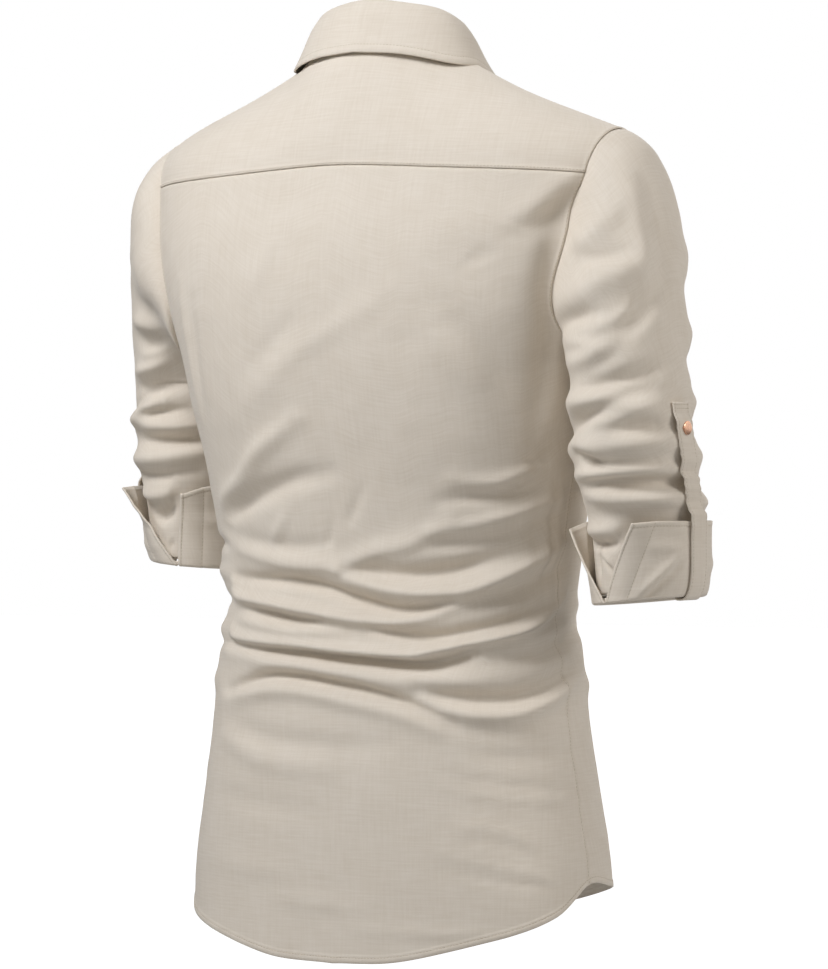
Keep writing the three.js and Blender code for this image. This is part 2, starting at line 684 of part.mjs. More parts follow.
/** At each armhole point, the way that runs on from the body cloth, in its own plane. */
function armholeConormals(ring, normals) {
  const centre = ring.reduce((sum, point) => sum.add(point), vector(0, 0, 0)).divideScalar(ring.length);
  return ring.map((point, column) => {
    const before = ring[(column + ring.length - 1) % ring.length];
    const after = ring[(column + 1) % ring.length];
    const away = after.clone().sub(before).cross(normals[column]).normalize();
    const towardsHole = centre.clone().sub(point).dot(away);
    return towardsHole < 0 ? away.negate() : away;
  });
}

function ringAngle(column) {
  return ((column - RING_TOP_COLUMN) * 360) / RING_COLUMNS;
}

/** 1 at the underarm seam, falling to 0 at the top of the sleeve head. */
function underarmShare(angle) {
  return ((1 - Math.cos(angle * DEGREE)) / 2) ** 3;
}

/** Sleeve normals whose first row doesn't lean over the body cloth. */
function sleeveNormals(rows, away, outward) {
  const normals = netNormals(rows, true, outward);
  normals[0].forEach((normal, column) => {
    const lean = Math.max(normal.dot(away[column]), 0);
    normal.addScaledVector(away[column], -lean).normalize();
  });
  return normals;
}

/** Rows of one sleeve, from the armhole round the head and down to its end inside the cuff. */
function sleeveLattice(side, armhole, away) {
  const firstRing = side.rings[0].z;
  const rows = [];
  const starts = armhole.map((point, column) => {
    const under = underarmShare(ringAngle(column));
    const start = point.clone().addScaledVector(away[column], ARMHOLE_GAP);
    return start.add(vector(side.sign * under * ARMHOLE_GAP, 0, 0));
  });
  for (let i = 0; i < HEAD_ROWS; i += 1) {
    const t = i / HEAD_ROWS;
    rows.push(
      starts.map((start, column) => {
        const angle = ringAngle(column);
        const end = sleeveRing(side, firstRing, angle);
        const reach = start.distanceTo(end);
        const under = underarmShare(angle);
        const leave = vector(
          side.sign * mix(SLEEVE_LEAVES.topOut, SLEEVE_LEAVES.underOut, under),
          SLEEVE_LEAVES.along * Math.sin(angle * DEGREE),
          mix(SLEEVE_LEAVES.topUp, SLEEVE_LEAVES.underUp, under),
        ).normalize();
        const startHandle = start.clone().addScaledVector(leave, HEAD_HANDLES.start * reach);
        const endHandle = end.clone().addScaledVector(UP, HEAD_HANDLES.end * reach);
        const point = bezier(start, startHandle, endHandle, end, t);
        const height = foldHeight(side.folds, angle, point.z, FOLD_REACH.sleeveMmPerDegree);
        const rise = Math.min(t * HEAD_FOLDS.growth, 1) * height * (1 - HEAD_FOLDS.underarmDamping * under);
        return point.addScaledVector(sleeveOutward(side, firstRing, angle), rise);
      }),
    );
  }
  const lowerCount = Math.round((firstRing - side.end) / SLEEVE_STEP);
  for (let i = 0; i <= lowerCount; i += 1) {
    const z = mix(firstRing, side.end, i / lowerCount);
    rows.push(
      starts.map((start, column) => {
        const angle = ringAngle(column);
        const free = clamp((z - side.cuffTop) / FREE_OF_CUFF, 0, 1);
        const height = free * foldHeight(side.folds, angle, z, FOLD_REACH.sleeveMmPerDegree);
        return sleeveRing(side, z, angle).addScaledVector(sleeveOutward(side, z, angle), height);
      }),
    );
  }
  return rows;
}

/** Rows of a rolled cuff: the band from its top edge down, then the turn under the sleeve's end. */
function cuffLattice(side) {
  const { slit } = side;
  const place = (share, column, inward, up) => {
    const along = column / CUFF_COLUMNS;
    const from = mix(slit.high, slit.topHigh, share);
    const to = 360 + mix(slit.low, slit.topLow, share);
    const angle = mix(from, to, along);
    const nearHigh = Math.exp(-((along / FLARE_SPREAD) ** 2));
    const nearLow = Math.exp(-(((1 - along) / FLARE_SPREAD) ** 2));
    const flare = share * share * (slit.flareHigh * nearHigh + slit.flareLow * nearLow);
    const drop = share * (CUFF_CORNER_DROP.high * nearHigh + CUFF_CORNER_DROP.low * nearLow);
    const z = mix(side.cuffEnd, side.cuffTop, share) + up - drop;
    const room = mix(CUFF_ROOM.bottom, CUFF_ROOM.top, share) + DOUBLE_CLOTH + flare - inward;
    return sleeveRing(side, z, angle).addScaledVector(sleeveOutward(side, z, angle), room);
  };
  const rows = [];
  const columns = Array.from({ length: CUFF_COLUMNS + 1 }, (unused, column) => column);
  for (const share of CUFF_BAND_SHARES) {
    rows.push(columns.map((column) => place(share, column, 0, 0)));
  }
  for (const { inward, up } of CUFF_TURN) {
    rows.push(columns.map((column) => place(0, column, inward, up)));
  }
  return rows;
}

/** Highest fold under the tab near one height: the tab spans the hollows between folds. */
function highestFold(side, z) {
  let highest = 0;
  for (let step = -2; step <= 2; step += 1) {
    for (const turn of [-10, 0, 10]) {
      const near = z + (step * TAB.restsOver) / 2;
      const height = foldHeight(side.folds, side.tabAngle + turn, near, FOLD_REACH.sleeveMmPerDegree);
      highest = Math.max(highest, height);
    }
  }
  return highest;
}

/** Rows of a tab: down the sleeve, over the cuff, under it and up a little way inside. */
function tabLattice(side) {
  const cuffFace = CUFF_ROOM.top + DOUBLE_CLOTH + LAID_ON + DOUBLE_CLOTH;
  const lowFace = CUFF_ROOM.bottom + DOUBLE_CLOTH + LAID_ON + DOUBLE_CLOTH;
  const sleeveFace = LAID_ON + DOUBLE_CLOTH;
  const stepOut = [];
  for (let row = 0; row <= TAB.sleeveRows; row += 1) {
    const z = mix(side.tabTop, side.cuffTop + TAB.leavesSleeve, row / TAB.sleeveRows);
    stepOut.push({ out: sleeveFace, z });
  }
  for (const { share, up, off } of TAB_OVER_CUFF) {
    const z = mix(side.cuffEnd, side.cuffTop, share) + up;
    stepOut.push({ out: mix(lowFace, cuffFace, share) + off, z });
  }
  for (const { out, up } of TAB_INSIDE) {
    stepOut.push({ out, z: side.cuffEnd + up });
  }
  return stepOut.map(({ out, z }) => {
    const ringZ = Math.max(z, side.end);
    const centre = sleeveRing(side, ringZ, side.tabAngle);
    const outward = sleeveOutward(side, ringZ, side.tabAngle);
    const across = UP.clone().cross(outward).normalize();
    const crest = highestFold(side, z);
    return [-1, -0.5, 0, 0.5, 1].map((share) => {
      const turn = (share * TAB.width) / 2;
      const angle = side.tabAngle + (side.sign * turn) / TAB.sleeveRadius / DEGREE;
      const onRing = sleeveRing(side, ringZ, angle);
      const slope = onRing.clone().sub(centre).dot(outward);
      const point = centre.clone().addScaledVector(outward, out + slope + (z > side.cuffTop ? crest : 0));
      point.addScaledVector(across, turn);
      point.z = z;
      return point;
    });
  });
}

// Collar

/** How far the stand's overlapping end lies outside its other end. */
function standRadiusShift(angle) {
  return clamp((angle - STAND_WRAP.from) / STAND_WRAP.over, 0, 1) * STAND_WRAP.out;
}

function standPoint(angle, share) {
  const base = neckPoint(clamp(angle, -180, 180 + STAND_OVERLAP));
  const centre = vector(0, NECK.centreY, base.z);
  const outward = base.clone().sub(centre).normalize();
  const height = mix(STAND_HEIGHT.front, STAND_HEIGHT.back, (1 + Math.cos(angle * DEGREE)) / 2);
  const lift = mix(STAND_CLEAR, height, share);
  const lean = STAND_LEAN * share;
  return base
    .addScaledVector(outward, standRadiusShift(angle) - lean - STAND_INSET)
    .add(vector(0, 0, lift));
}

function leafEdgePoint(angle) {
  const around = Math.abs(angle);
  return vector(
    -Math.sign(angle) * read(LEAF_EDGE, 'around', 'out', around),
    read(LEAF_EDGE, 'around', 'y', around),
    read(LEAF_EDGE, 'around', 'z', around),
  );
}

function standLattice() {
  const rows = [];
  for (let i = 0; i <= STAND_ROWS; i += 1) {
    const row = [];
    for (let column = 0; column <= STAND_COLUMNS; column += 1) {
      row.push(standPoint(mix(-178, 178 + STAND_OVERLAP, column / STAND_COLUMNS), 1 - i / STAND_ROWS));
    }
    rows.push(row);
  }
  return rows;
}

function leafLattice() {
  const reach = LEAF_EDGE[LEAF_EDGE.length - 1].around;
  return LEAF_PROFILE.map(({ share, lift, bulge }) => {
    const row = [];
    for (let column = 0; column <= LEAF_COLUMNS; column += 1) {
      const angle = mix(-reach, reach, column / LEAF_COLUMNS);
      const top = standPoint(angle, 1);
      const edge = leafEdgePoint(angle);
      const outward = edge.clone().sub(top).setZ(0).normalize();
      row.push(top.lerp(edge, share).addScaledVector(outward, bulge).add(vector(0, 0, lift)));
    }
    return row;
  });
}

// Front closing

/** Point of the front's outer face straight in from x and z, found on its rows. */
function frontPoint(rows, x, z) {
  const crossings = rows.map((row) => {
    let j = 1;
    while (j < row.length - 1 && row[j].x < x) {
      j += 1;
    }
    const share = (x - row[j - 1].x) / (row[j].x - row[j - 1].x);
    return row[j - 1].clone().lerp(row[j], share);
  });
  let i = 1;
  while (i < crossings.length - 1 && crossings[i].z > z) {
    i += 1;
  }
  const share = (crossings[i - 1].z - z) / (crossings[i - 1].z - crossings[i].z);
  return crossings[i - 1].lerp(crossings[i], share);
}

/** A place on the front's centre line and the way the cloth faces there. */
function frontFace(rows, z) {
  const point = frontPoint(rows, 0, z);
  const down = frontPoint(rows, 0, z - 8).sub(frontPoint(rows, 0, z + 8));
  const across = frontPoint(rows, 8, z).sub(frontPoint(rows, -8, z));
  return { point, facing: down.cross(across).normalize() };
}

function placketLattice(front) {
  const rows = [];
  for (let i = 0; i <= PLACKET.rows; i += 1) {
    const z = mix(PLACKET.top, PLACKET.bottom, i / PLACKET.rows);
    const { facing } = frontFace(front, z);
    rows.push(
      [-1, 0, 1].map((share) =>
        frontPoint(front, share * PLACKET.halfWidth, z).addScaledVector(facing, PLACKET.proud + DOUBLE_CLOTH),
      ),
    );
  }
  return rows;
}

/** A round button with a bevelled rim, lying with its back at a place and facing one way. */
function buttonMesh(name, place, facing) {
  const { radius, thickness, rim, sides } = BUTTON;
  const profile = [
    new THREE.Vector2(0, 0),
    new THREE.Vector2(radius - rim, 0),
    new THREE.Vector2(radius, rim),
    new THREE.Vector2(radius, thickness - rim),
    new THREE.Vector2(radius - rim, thickness),
    new THREE.Vector2(0, thickness - rim),
  ];
  const copper = new THREE.MeshStandardMaterial(COPPER);
  const mesh = new THREE.Mesh(new THREE.LatheGeometry(profile, sides), copper);
  mesh.name = name;
  mesh.quaternion.setFromUnitVectors(vector(0, 1, 0), facing.clone().normalize());
  mesh.position.copy(place);
  return mesh;
}

function clothMesh(name, geometry) {
  const mesh = new THREE.Mesh(geometry, new THREE.MeshStandardMaterial(LINEN));
  mesh.name = name;
  return mesh;
}

function buildBody(group, back, front, backNormals, frontNormals) {
  const yokeRows = YOKE_ROWS + 1;
  group.add(
    clothMesh(
      'yoke',
      sheetGeometry(back.slice(0, yokeRows), backNormals.slice(0, yokeRows), {
        seams: { top: true, bottom: true, sides: true },
      }),
    ),
  );
  group.add(clothMesh('back', panelGeometry(back.slice(YOKE_ROWS), backNormals.slice(YOKE_ROWS), 1)));
  group.add(clothMesh('front', frontGeometry(front, frontNormals, 1)));
}

function buildSleeve(group, name, side, armhole, away) {
  const sleeve = sleeveLattice(side, armhole, away);
  const outward = side.sign;
  group.add(
    clothMesh(
      `sleeve_${name}`,
      sheetGeometry(sleeve, sleeveNormals(sleeve, away, outward), {
        closed: true,
        outward,
      }),
    ),
  );
  const cuff = cuffLattice(side);
  group.add(
    clothMesh(
      `cuff_${name}`,
      sheetGeometry(cuff, netNormals(cuff, false, outward), { outward, thickness: DOUBLE_CLOTH }),
    ),
  );
  const tab = tabLattice(side);
  group.add(
    clothMesh(
      `tab_${name}`,
      sheetGeometry(tab, netNormals(tab, false, 1), { thickness: DOUBLE_CLOTH }),
    ),
  );
  const middle = 2;
  const facing = netNormals(tab, false, 1)[TAB.buttonRow][middle];
  const place = tab[TAB.buttonRow][middle].clone().addScaledVector(facing, BUTTON.seat);
  group.add(buttonMesh(`tab_button_${name}`, place, facing));
}

function buildCollar(group) {
  const stand = standLattice();
  group.add(
    clothMesh('collar_stand', sheetGeometry(stand, netNormals(stand, false, 1), { thickness: DOUBLE_CLOTH })),
  );
  const leaf = leafLattice();
  group.add(
    clothMesh('collar_leaf', sheetGeometry(leaf, netNormals(leaf, false, 1), { thickness: DOUBLE_CLOTH })),
  );
}

function buildFrontClosing(group, front) {
  const strip = placketLattice(front);
  const wall = { thickness: DOUBLE_CLOTH };
  group.add(clothMesh('placket', sheetGeometry(strip, netNormals(strip, false, 1), wall)));
  FRONT_BUTTON_HEIGHTS.forEach((z, index) => {
    const { point, facing } = frontFace(front, z);
    const place = point.addScaledVector(facing, PLACKET.proud + DOUBLE_CLOTH + LAID_ON);
    group.add(buttonMesh(`placket_button_${index + 1}`, place, facing));
  });
  const standFront = standPoint(180, 0.5);
  const across = standPoint(186, 0.5).sub(standPoint(174, 0.5));
  const down = standPoint(180, 0.2).sub(standPoint(180, 0.8));
  const facing = down.cross(across).normalize();
  group.add(buttonMesh('neck_button', standFront.addScaledVector(facing, BUTTON.seat), facing));
}

const group = new THREE.Group();
const back = backLattice();
const front = frontLattice();
const backNormals = netNormals(back, false, 1);
const frontNormals = netNormals(front, false, 1);
buildBody(group, back, front, backNormals, frontNormals);
for (const [name, side] of Object.entries(SLEEVE_SIDES)) {
  const armhole = armholeRing(back, front, side);
  const away = armholeConormals(armhole, armholeRing(backNormals, frontNormals, side));
  buildSleeve(group, name, side, armhole, away);
}
buildCollar(group);
buildFrontClosing(group, front);

export default group;
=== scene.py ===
"""Shirt kurta: the cloth, stitching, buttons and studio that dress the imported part.

Lengths in the tables are millimetres, as a maker cuts them, and MM turns them into metres. The front
faces -Y, so the wearer's right sleeve is at -X. Angles round the body start at the centre back and
grow towards the wearer's right. Angles round a sleeve are 0 away from the body, 90 at the back,
180 at the body and 270 at the front.
"""
import logging
import math
from collections.abc import Sequence
from dataclasses import dataclass
from enum import Enum

import bpy
import numpy as np
from bpy.types import Material, Node, NodeSocket, NodeTree, Object
from mathutils import Matrix, Vector


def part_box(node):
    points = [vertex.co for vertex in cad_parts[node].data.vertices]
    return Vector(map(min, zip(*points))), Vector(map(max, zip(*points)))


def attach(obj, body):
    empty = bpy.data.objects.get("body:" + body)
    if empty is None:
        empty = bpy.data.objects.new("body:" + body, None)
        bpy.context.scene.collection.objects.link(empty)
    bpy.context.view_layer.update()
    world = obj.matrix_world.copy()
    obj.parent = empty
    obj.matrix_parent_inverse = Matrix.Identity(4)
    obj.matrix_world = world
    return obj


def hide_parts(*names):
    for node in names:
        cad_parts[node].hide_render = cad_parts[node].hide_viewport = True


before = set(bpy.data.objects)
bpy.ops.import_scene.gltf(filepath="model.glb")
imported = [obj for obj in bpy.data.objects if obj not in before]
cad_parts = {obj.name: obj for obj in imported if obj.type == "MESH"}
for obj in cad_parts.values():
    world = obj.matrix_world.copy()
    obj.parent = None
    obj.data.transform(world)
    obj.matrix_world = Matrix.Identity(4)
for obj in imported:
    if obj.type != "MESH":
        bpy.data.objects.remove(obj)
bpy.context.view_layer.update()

MM = 0.001
log = logging.getLogger("shirt_kurta")

Values = float | np.ndarray
Line = tuple[np.ndarray, np.ndarray]
Profile = Sequence[tuple[float, float]]
Colour = tuple[float, float, float]

# One layer of cloth, two layers sewn together, and the room under a strip laid on others
CLOTH = 1.2
DOUBLE_CLOTH = 1.7
LAID_ON = 0.5
# Steps of a net from one place of a table to the next, and of an edge's or a strip's profile
FINE = 6
PROFILE_STEPS = 7
STRIP_STEPS = 5
# Places on a fold's line of three, and steps between the places of a longer one
PULLED_PLACES = 17
RUN_STEPS = 5
# Share of the wall that is left at a rounded rim, and the least room between an edge's rows and the next
EDGE_THINNING = 0.35
ROW_ROOM = 0.4


class Edge(Enum):
    """The four edges of a net of cloth."""

    TOP = "top"
    BOTTOM = "bottom"
    LEFT = "left"
    RIGHT = "right"


class Held(Enum):
    """How a sheet of cloth is held."""

    HUNG = "hung"
    GATHERED = "gathered"
    FOLDED = "folded"
    LAID = "laid"


class Slot(Enum):
    """The record's material slots."""

    LINEN = "linen"
    COPPER = "copper_button"


@dataclass(frozen=True)
class BodySection:
    """One level of the body: how far it reaches to the sides, to the back and to the front."""

    z: float
    half_width: float
    back_depth: float
    front_depth: float
    squareness: float


@dataclass(frozen=True)
class HemPlace:
    """Height of the hem at one angle from the centre back."""

    angle: float
    z: float


@dataclass(frozen=True)
class ArmholePlace:
    """Angles at which the back and the front end at the armhole, at one height."""

    z: float
    back: float
    front: float


@dataclass(frozen=True)
class ColumnHandles:
    """How one column of an upper panel leaves its top edge and meets its lower one."""

    across: float
    start_x: float
    start_y: float
    start_z: float
    end_x: float
    end_y: float
    end_z: float


@dataclass(frozen=True)
class SleeveRing:
    """One level of a sleeve: its centre and how far it reaches out and to the back."""

    z: float
    out: float
    y: float
    half_out: float
    half_depth: float


@dataclass(frozen=True)
class LeafEdgePlace:
    """One place on the collar leaf's lower edge."""

    around: float
    out: float
    y: float
    z: float


BODY_SECTIONS = (
    BodySection(-90, 216, 102, 86, 2.6),
    BodySection(-146, 212, 118, 110, 2.6),
    BodySection(-194, 201, 124, 124, 2.6),
    BodySection(-250, 184, 123, 128, 2.6),
    BodySection(-290, 175, 118, 126, 2.6),
    BodySection(-348, 164, 106, 120, 2.5),
    BodySection(-390, 158, 99, 116, 2.4),
    BodySection(-425, 153, 96, 114, 2.4),
    BodySection(-455, 149, 97, 115, 2.4),
    BodySection(-475, 154, 100, 118, 2.4),
    BodySection(-516, 158, 105, 124, 2.4),
    BodySection(-545, 161, 108, 128, 2.4),
    BodySection(-607, 170, 109, 134, 2.4),
    BodySection(-660, 179, 108, 138, 2.4),
    BodySection(-745, 184, 106, 140, 2.4),
)
HEM_CURVE = (
    HemPlace(0, -740),
    HemPlace(30, -736),
    HemPlace(60, -716),
    HemPlace(76, -699),
    HemPlace(90, -675),
    HemPlace(104, -679),
    HemPlace(122, -687),
    HemPlace(150, -705),
    HemPlace(180, -714),
)
ARMHOLE_EDGES = (
    ArmholePlace(-98, 76, 104),
    ArmholePlace(-122, 73.5, 109),
    ArmholePlace(-146, 72, 112),
    ArmholePlace(-194, 70, 111),
    ArmholePlace(-222, 73.5, 106),
    ArmholePlace(-238, 80, 99),
    ArmholePlace(-250, 90, 90),
)
YOKE_HANDLES = (
    ColumnHandles(0, 0, 14, -12, 0, -4, 45),
    ColumnHandles(0.18, 8, 12, -9, 0, -5, 46),
    ColumnHandles(0.36, 6, 18, 2, 2, -8, 52),
    ColumnHandles(0.45, 5, 28, 22, 2, -9, 55),
    ColumnHandles(0.73, 2, 32, 23, 3, -10, 52),
    ColumnHandles(1, 4, 22, 22, 5, -8, 36),
)
FRONT_HANDLES = (
    ColumnHandles(0, 0, -12, -10, 0, 5, 30),
    ColumnHandles(0.2, 4, -16, -9, 0, 6, 34),
    ColumnHandles(0.4, 5, -24, -12, 0, 8, 48),
    ColumnHandles(0.7, 2, -26, -15, -2, 8, 42),
    ColumnHandles(1, -4, -14, -14, 2, 4, 30),
)
BACK_LEVELS = (-90, -106, -122, -138, -154, -170, -187, -204, -221, -237, -250)
FRONT_LEVELS = (-148, -164, -181, -198, -215, -233, -250)
WAIST_LEVELS = (
    -250, -266, -286, -308, -330, -352, -372, -390, -404, -416, -427, -438, -449, -460, -471, -482, -494,
    -508, -524, -544, -566,
)
HEM_SHARES = (0, 0.24, 0.48, 0.72, 0.9, 1)


@dataclass(frozen=True)
class Fold:
    """A ridge, or a trough where rise is negative, along a line over the cloth.

    Three places are a start, a pull and an end. More are places that the line runs through.
    """

    places: tuple[tuple[float, float], ...]
    rise: float
    above: float
    below: float

    def line(self) -> np.ndarray:
        """The fold's line as closely spaced places.

        Returns:
            The places, one row each.
        """
        places = np.array(self.places, float)
        if len(places) == 3:
            t = np.linspace(0, 1, PULLED_PLACES)[:, None]
            return (1 - t) ** 2 * places[0] + 2 * (1 - t) * t * places[1] + t**2 * places[2]
        return smooth_path(places, RUN_STEPS)


def smooth_path(places: np.ndarray, steps: int) -> np.ndarray:
    """A smooth line through places.

    Args:
        places: One row for each place, of any number of coordinates.
        steps: How many steps run from one place to the next.

    Returns:
        The points of the line, the first and last place included.
    """
    ends = np.vstack([2 * places[0] - places[1], places, 2 * places[-1] - places[-2]])
    t = (np.arange(steps) / steps)[:, None]
    pieces = []
    for before, start, end, after in zip(ends, ends[1:], ends[2:], ends[3:]):
        pull = end - before
        bend = 2 * before - 5 * start + 4 * end - after
        twist = 3 * start - before - 3 * end + after
        pieces.append(start + 0.5 * (pull * t + bend * t**2 + twist * t**3))
    return np.vstack([*pieces, places[-1:]])


def mix(start: Values, end: Values, share: Values) -> Values:
    """A value between two, at a share of the way."""
    return start + (end - start) * share


def half_turn(angle: Values) -> Values:
    """The angle brought between -180 and 180 degrees."""
    return (angle + 540) % 360 - 180


def faded(distance: Values, over: float) -> Values:
    """A share that grows from 0 to 1 over a distance."""
    return np.clip(distance / over, 0, 1)


def unit(vectors: np.ndarray) -> np.ndarray:
    """The vectors with length 1."""
    return vectors / np.maximum(np.linalg.norm(vectors, axis=-1, keepdims=True), 1e-9)


def on_axes(x: Values, y: Values, z: Values) -> np.ndarray:
    """Points put together from their coordinates."""
    return np.stack(np.broadcast_arrays(np.asarray(x, float), y, z), axis=-1)


def read(rows: Sequence[object], key: str, column: str, at: Values) -> np.ndarray:
    """Reads one column of a table smoothly between its rows.

    Args:
        rows: The rows, in order of their key.
        key: Name of the column to look up by.
        column: Name of the column to read.
        at: Where to read, along the key column.

    Returns:
        The smooth values.
    """
    keys = np.array([getattr(row, key) for row in rows], float)
    values = np.array([getattr(row, column) for row in rows], float)
    if keys[-1] < keys[0]:
        keys, values = keys[::-1], values[::-1]
    last = len(keys) - 1
    index = np.arange(last + 1)
    before = np.maximum(index - 1, 0)
    after = np.minimum(index + 1, last)
    slopes = (values[after] - values[before]) / (keys[after] - keys[before])
    row = np.clip(np.searchsorted(keys, at, side="right") - 1, 0, last - 1)
    span = keys[row + 1] - keys[row]
    t = np.clip((at - keys[row]) / span, 0, 1)
    return (
        (2 * t**3 - 3 * t**2 + 1) * values[row]
        + (t**3 - 2 * t**2 + t) * span * slopes[row]
        + (3 * t**2 - 2 * t**3) * values[row + 1]
        + (t**3 - t**2) * span * slopes[row + 1]
    )


def bezier(
    start: np.ndarray, leave: np.ndarray, arrive: np.ndarray, end: np.ndarray, t: np.ndarray
) -> np.ndarray:
    """Points of cubic curves, one curve for each column and one row for each t.

    Args:
        start: Where each curve starts.
        leave: The place it heads for first.
        arrive: The place it comes from last.
        end: Where it ends.
        t: Shares of the way.

    Returns:
        The points.
    """
    t = t[:, None, None]
    s = 1 - t
    return s**3 * start + 3 * s**2 * t * leave + 3 * s * t**2 * arrive + t**3 * end


def refined(levels: Sequence[float]) -> np.ndarray:
    """The levels with evenly spaced ones put between them."""
    return np.interp(np.arange((len(levels) - 1) * FINE + 1) / FINE, np.arange(len(levels)), levels)


@dataclass(frozen=True)
class FoldField:
    """The folds of one piece of cloth laid out by angle and height."""

    folds: tuple[Fold, ...]
    mm_per_degree: float
    reach: float = 2.6
    blunt: float = 0.04

    def height(self, angle: np.ndarray, z: np.ndarray) -> np.ndarray:
        """How far the folds lift the cloth at each place, in millimetres.

        Args:
            angle: Angle of each place.
            z: Height of each place.

        Returns:
            The lift at each place.
        """
        total = np.zeros(np.shape(angle))
        for fold in self.folds:
            total += self.one_height(fold, angle, z)
        return total

    def one_height(self, fold: Fold, angle: np.ndarray, z: np.ndarray) -> np.ndarray:
        """How far one fold lifts the cloth at each place.

        Args:
            fold: The fold.
            angle: Angle of each place.
            z: Height of each place.

        Returns:
            The lift at each place.
        """
        line = fold.line()
        span = self.reach * max(fold.above, fold.below)
        turned = half_turn(angle - line[0, 0])
        low, high = line[:, 1].min() - span, line[:, 1].max() + span
        offsets = (line[:, 0] - line[0, 0]) * self.mm_per_degree
        near = (z > low) & (z < high)
        near &= turned * self.mm_per_degree > offsets.min() - span
        near &= turned * self.mm_per_degree < offsets.max() + span
        lifted = np.zeros(np.shape(angle))
        if not near.any():
            return lifted
        here = np.stack([turned[near] * self.mm_per_degree, z[near]], axis=-1)[:, None, :]
        corners = np.stack([offsets, line[:, 1]], axis=-1)
        start, step = corners[:-1], np.diff(corners, axis=0)
        along = np.clip(((here - start) * step).sum(-1) / (step**2).sum(-1), 0, 1)
        away = here - start - along[..., None] * step
        distance = np.hypot(away[..., 0], away[..., 1])
        nearest = distance.argmin(axis=1)
        pick = np.arange(len(nearest))
        side = step[nearest, 0] * away[pick, nearest, 1] - step[nearest, 1] * away[pick, nearest, 0]
        width = np.where(side > 0, fold.above, fold.below)
        share = (nearest + along[pick, nearest]) / len(step)
        taper = np.sqrt(np.sin(math.pi * np.clip(share, self.blunt, 1 - self.blunt)))
        lifted[near] = fold.rise * taper * np.exp(-((distance[pick, nearest] / width) ** 2))
        return lifted


@dataclass(frozen=True)
class Unevenness:
    """Soft uneven bumps in cloth, the same on each run."""

    seed: int
    bumps_round: int
    bump_length: float
    height: float
    rows: int = 64

    def at(self, angle: np.ndarray, z: np.ndarray) -> np.ndarray:
        """Height of the bumps at angles and heights round a piece.

        Args:
            angle: Angle of each place.
            z: Height of each place.

        Returns:
            The height at each place.
        """
        heights = np.random.default_rng(self.seed).uniform(-1, 1, (self.rows, self.bumps_round))
        x = (angle % 360) / 360 * self.bumps_round
        y = z / self.bump_length
        column = np.floor(x).astype(int)
        row = np.floor(y).astype(int)
        fx = x - column
        fy = y - row
        fx = fx * fx * (3 - 2 * fx)
        fy = fy * fy * (3 - 2 * fy)
        left, right = column % self.bumps_round, (column + 1) % self.bumps_round
        low, high = row % self.rows, (row + 1) % self.rows
        return self.height * mix(
            mix(heights[low, left], heights[low, right], fx),
            mix(heights[high, left], heights[high, right], fx),
            fy,
        )


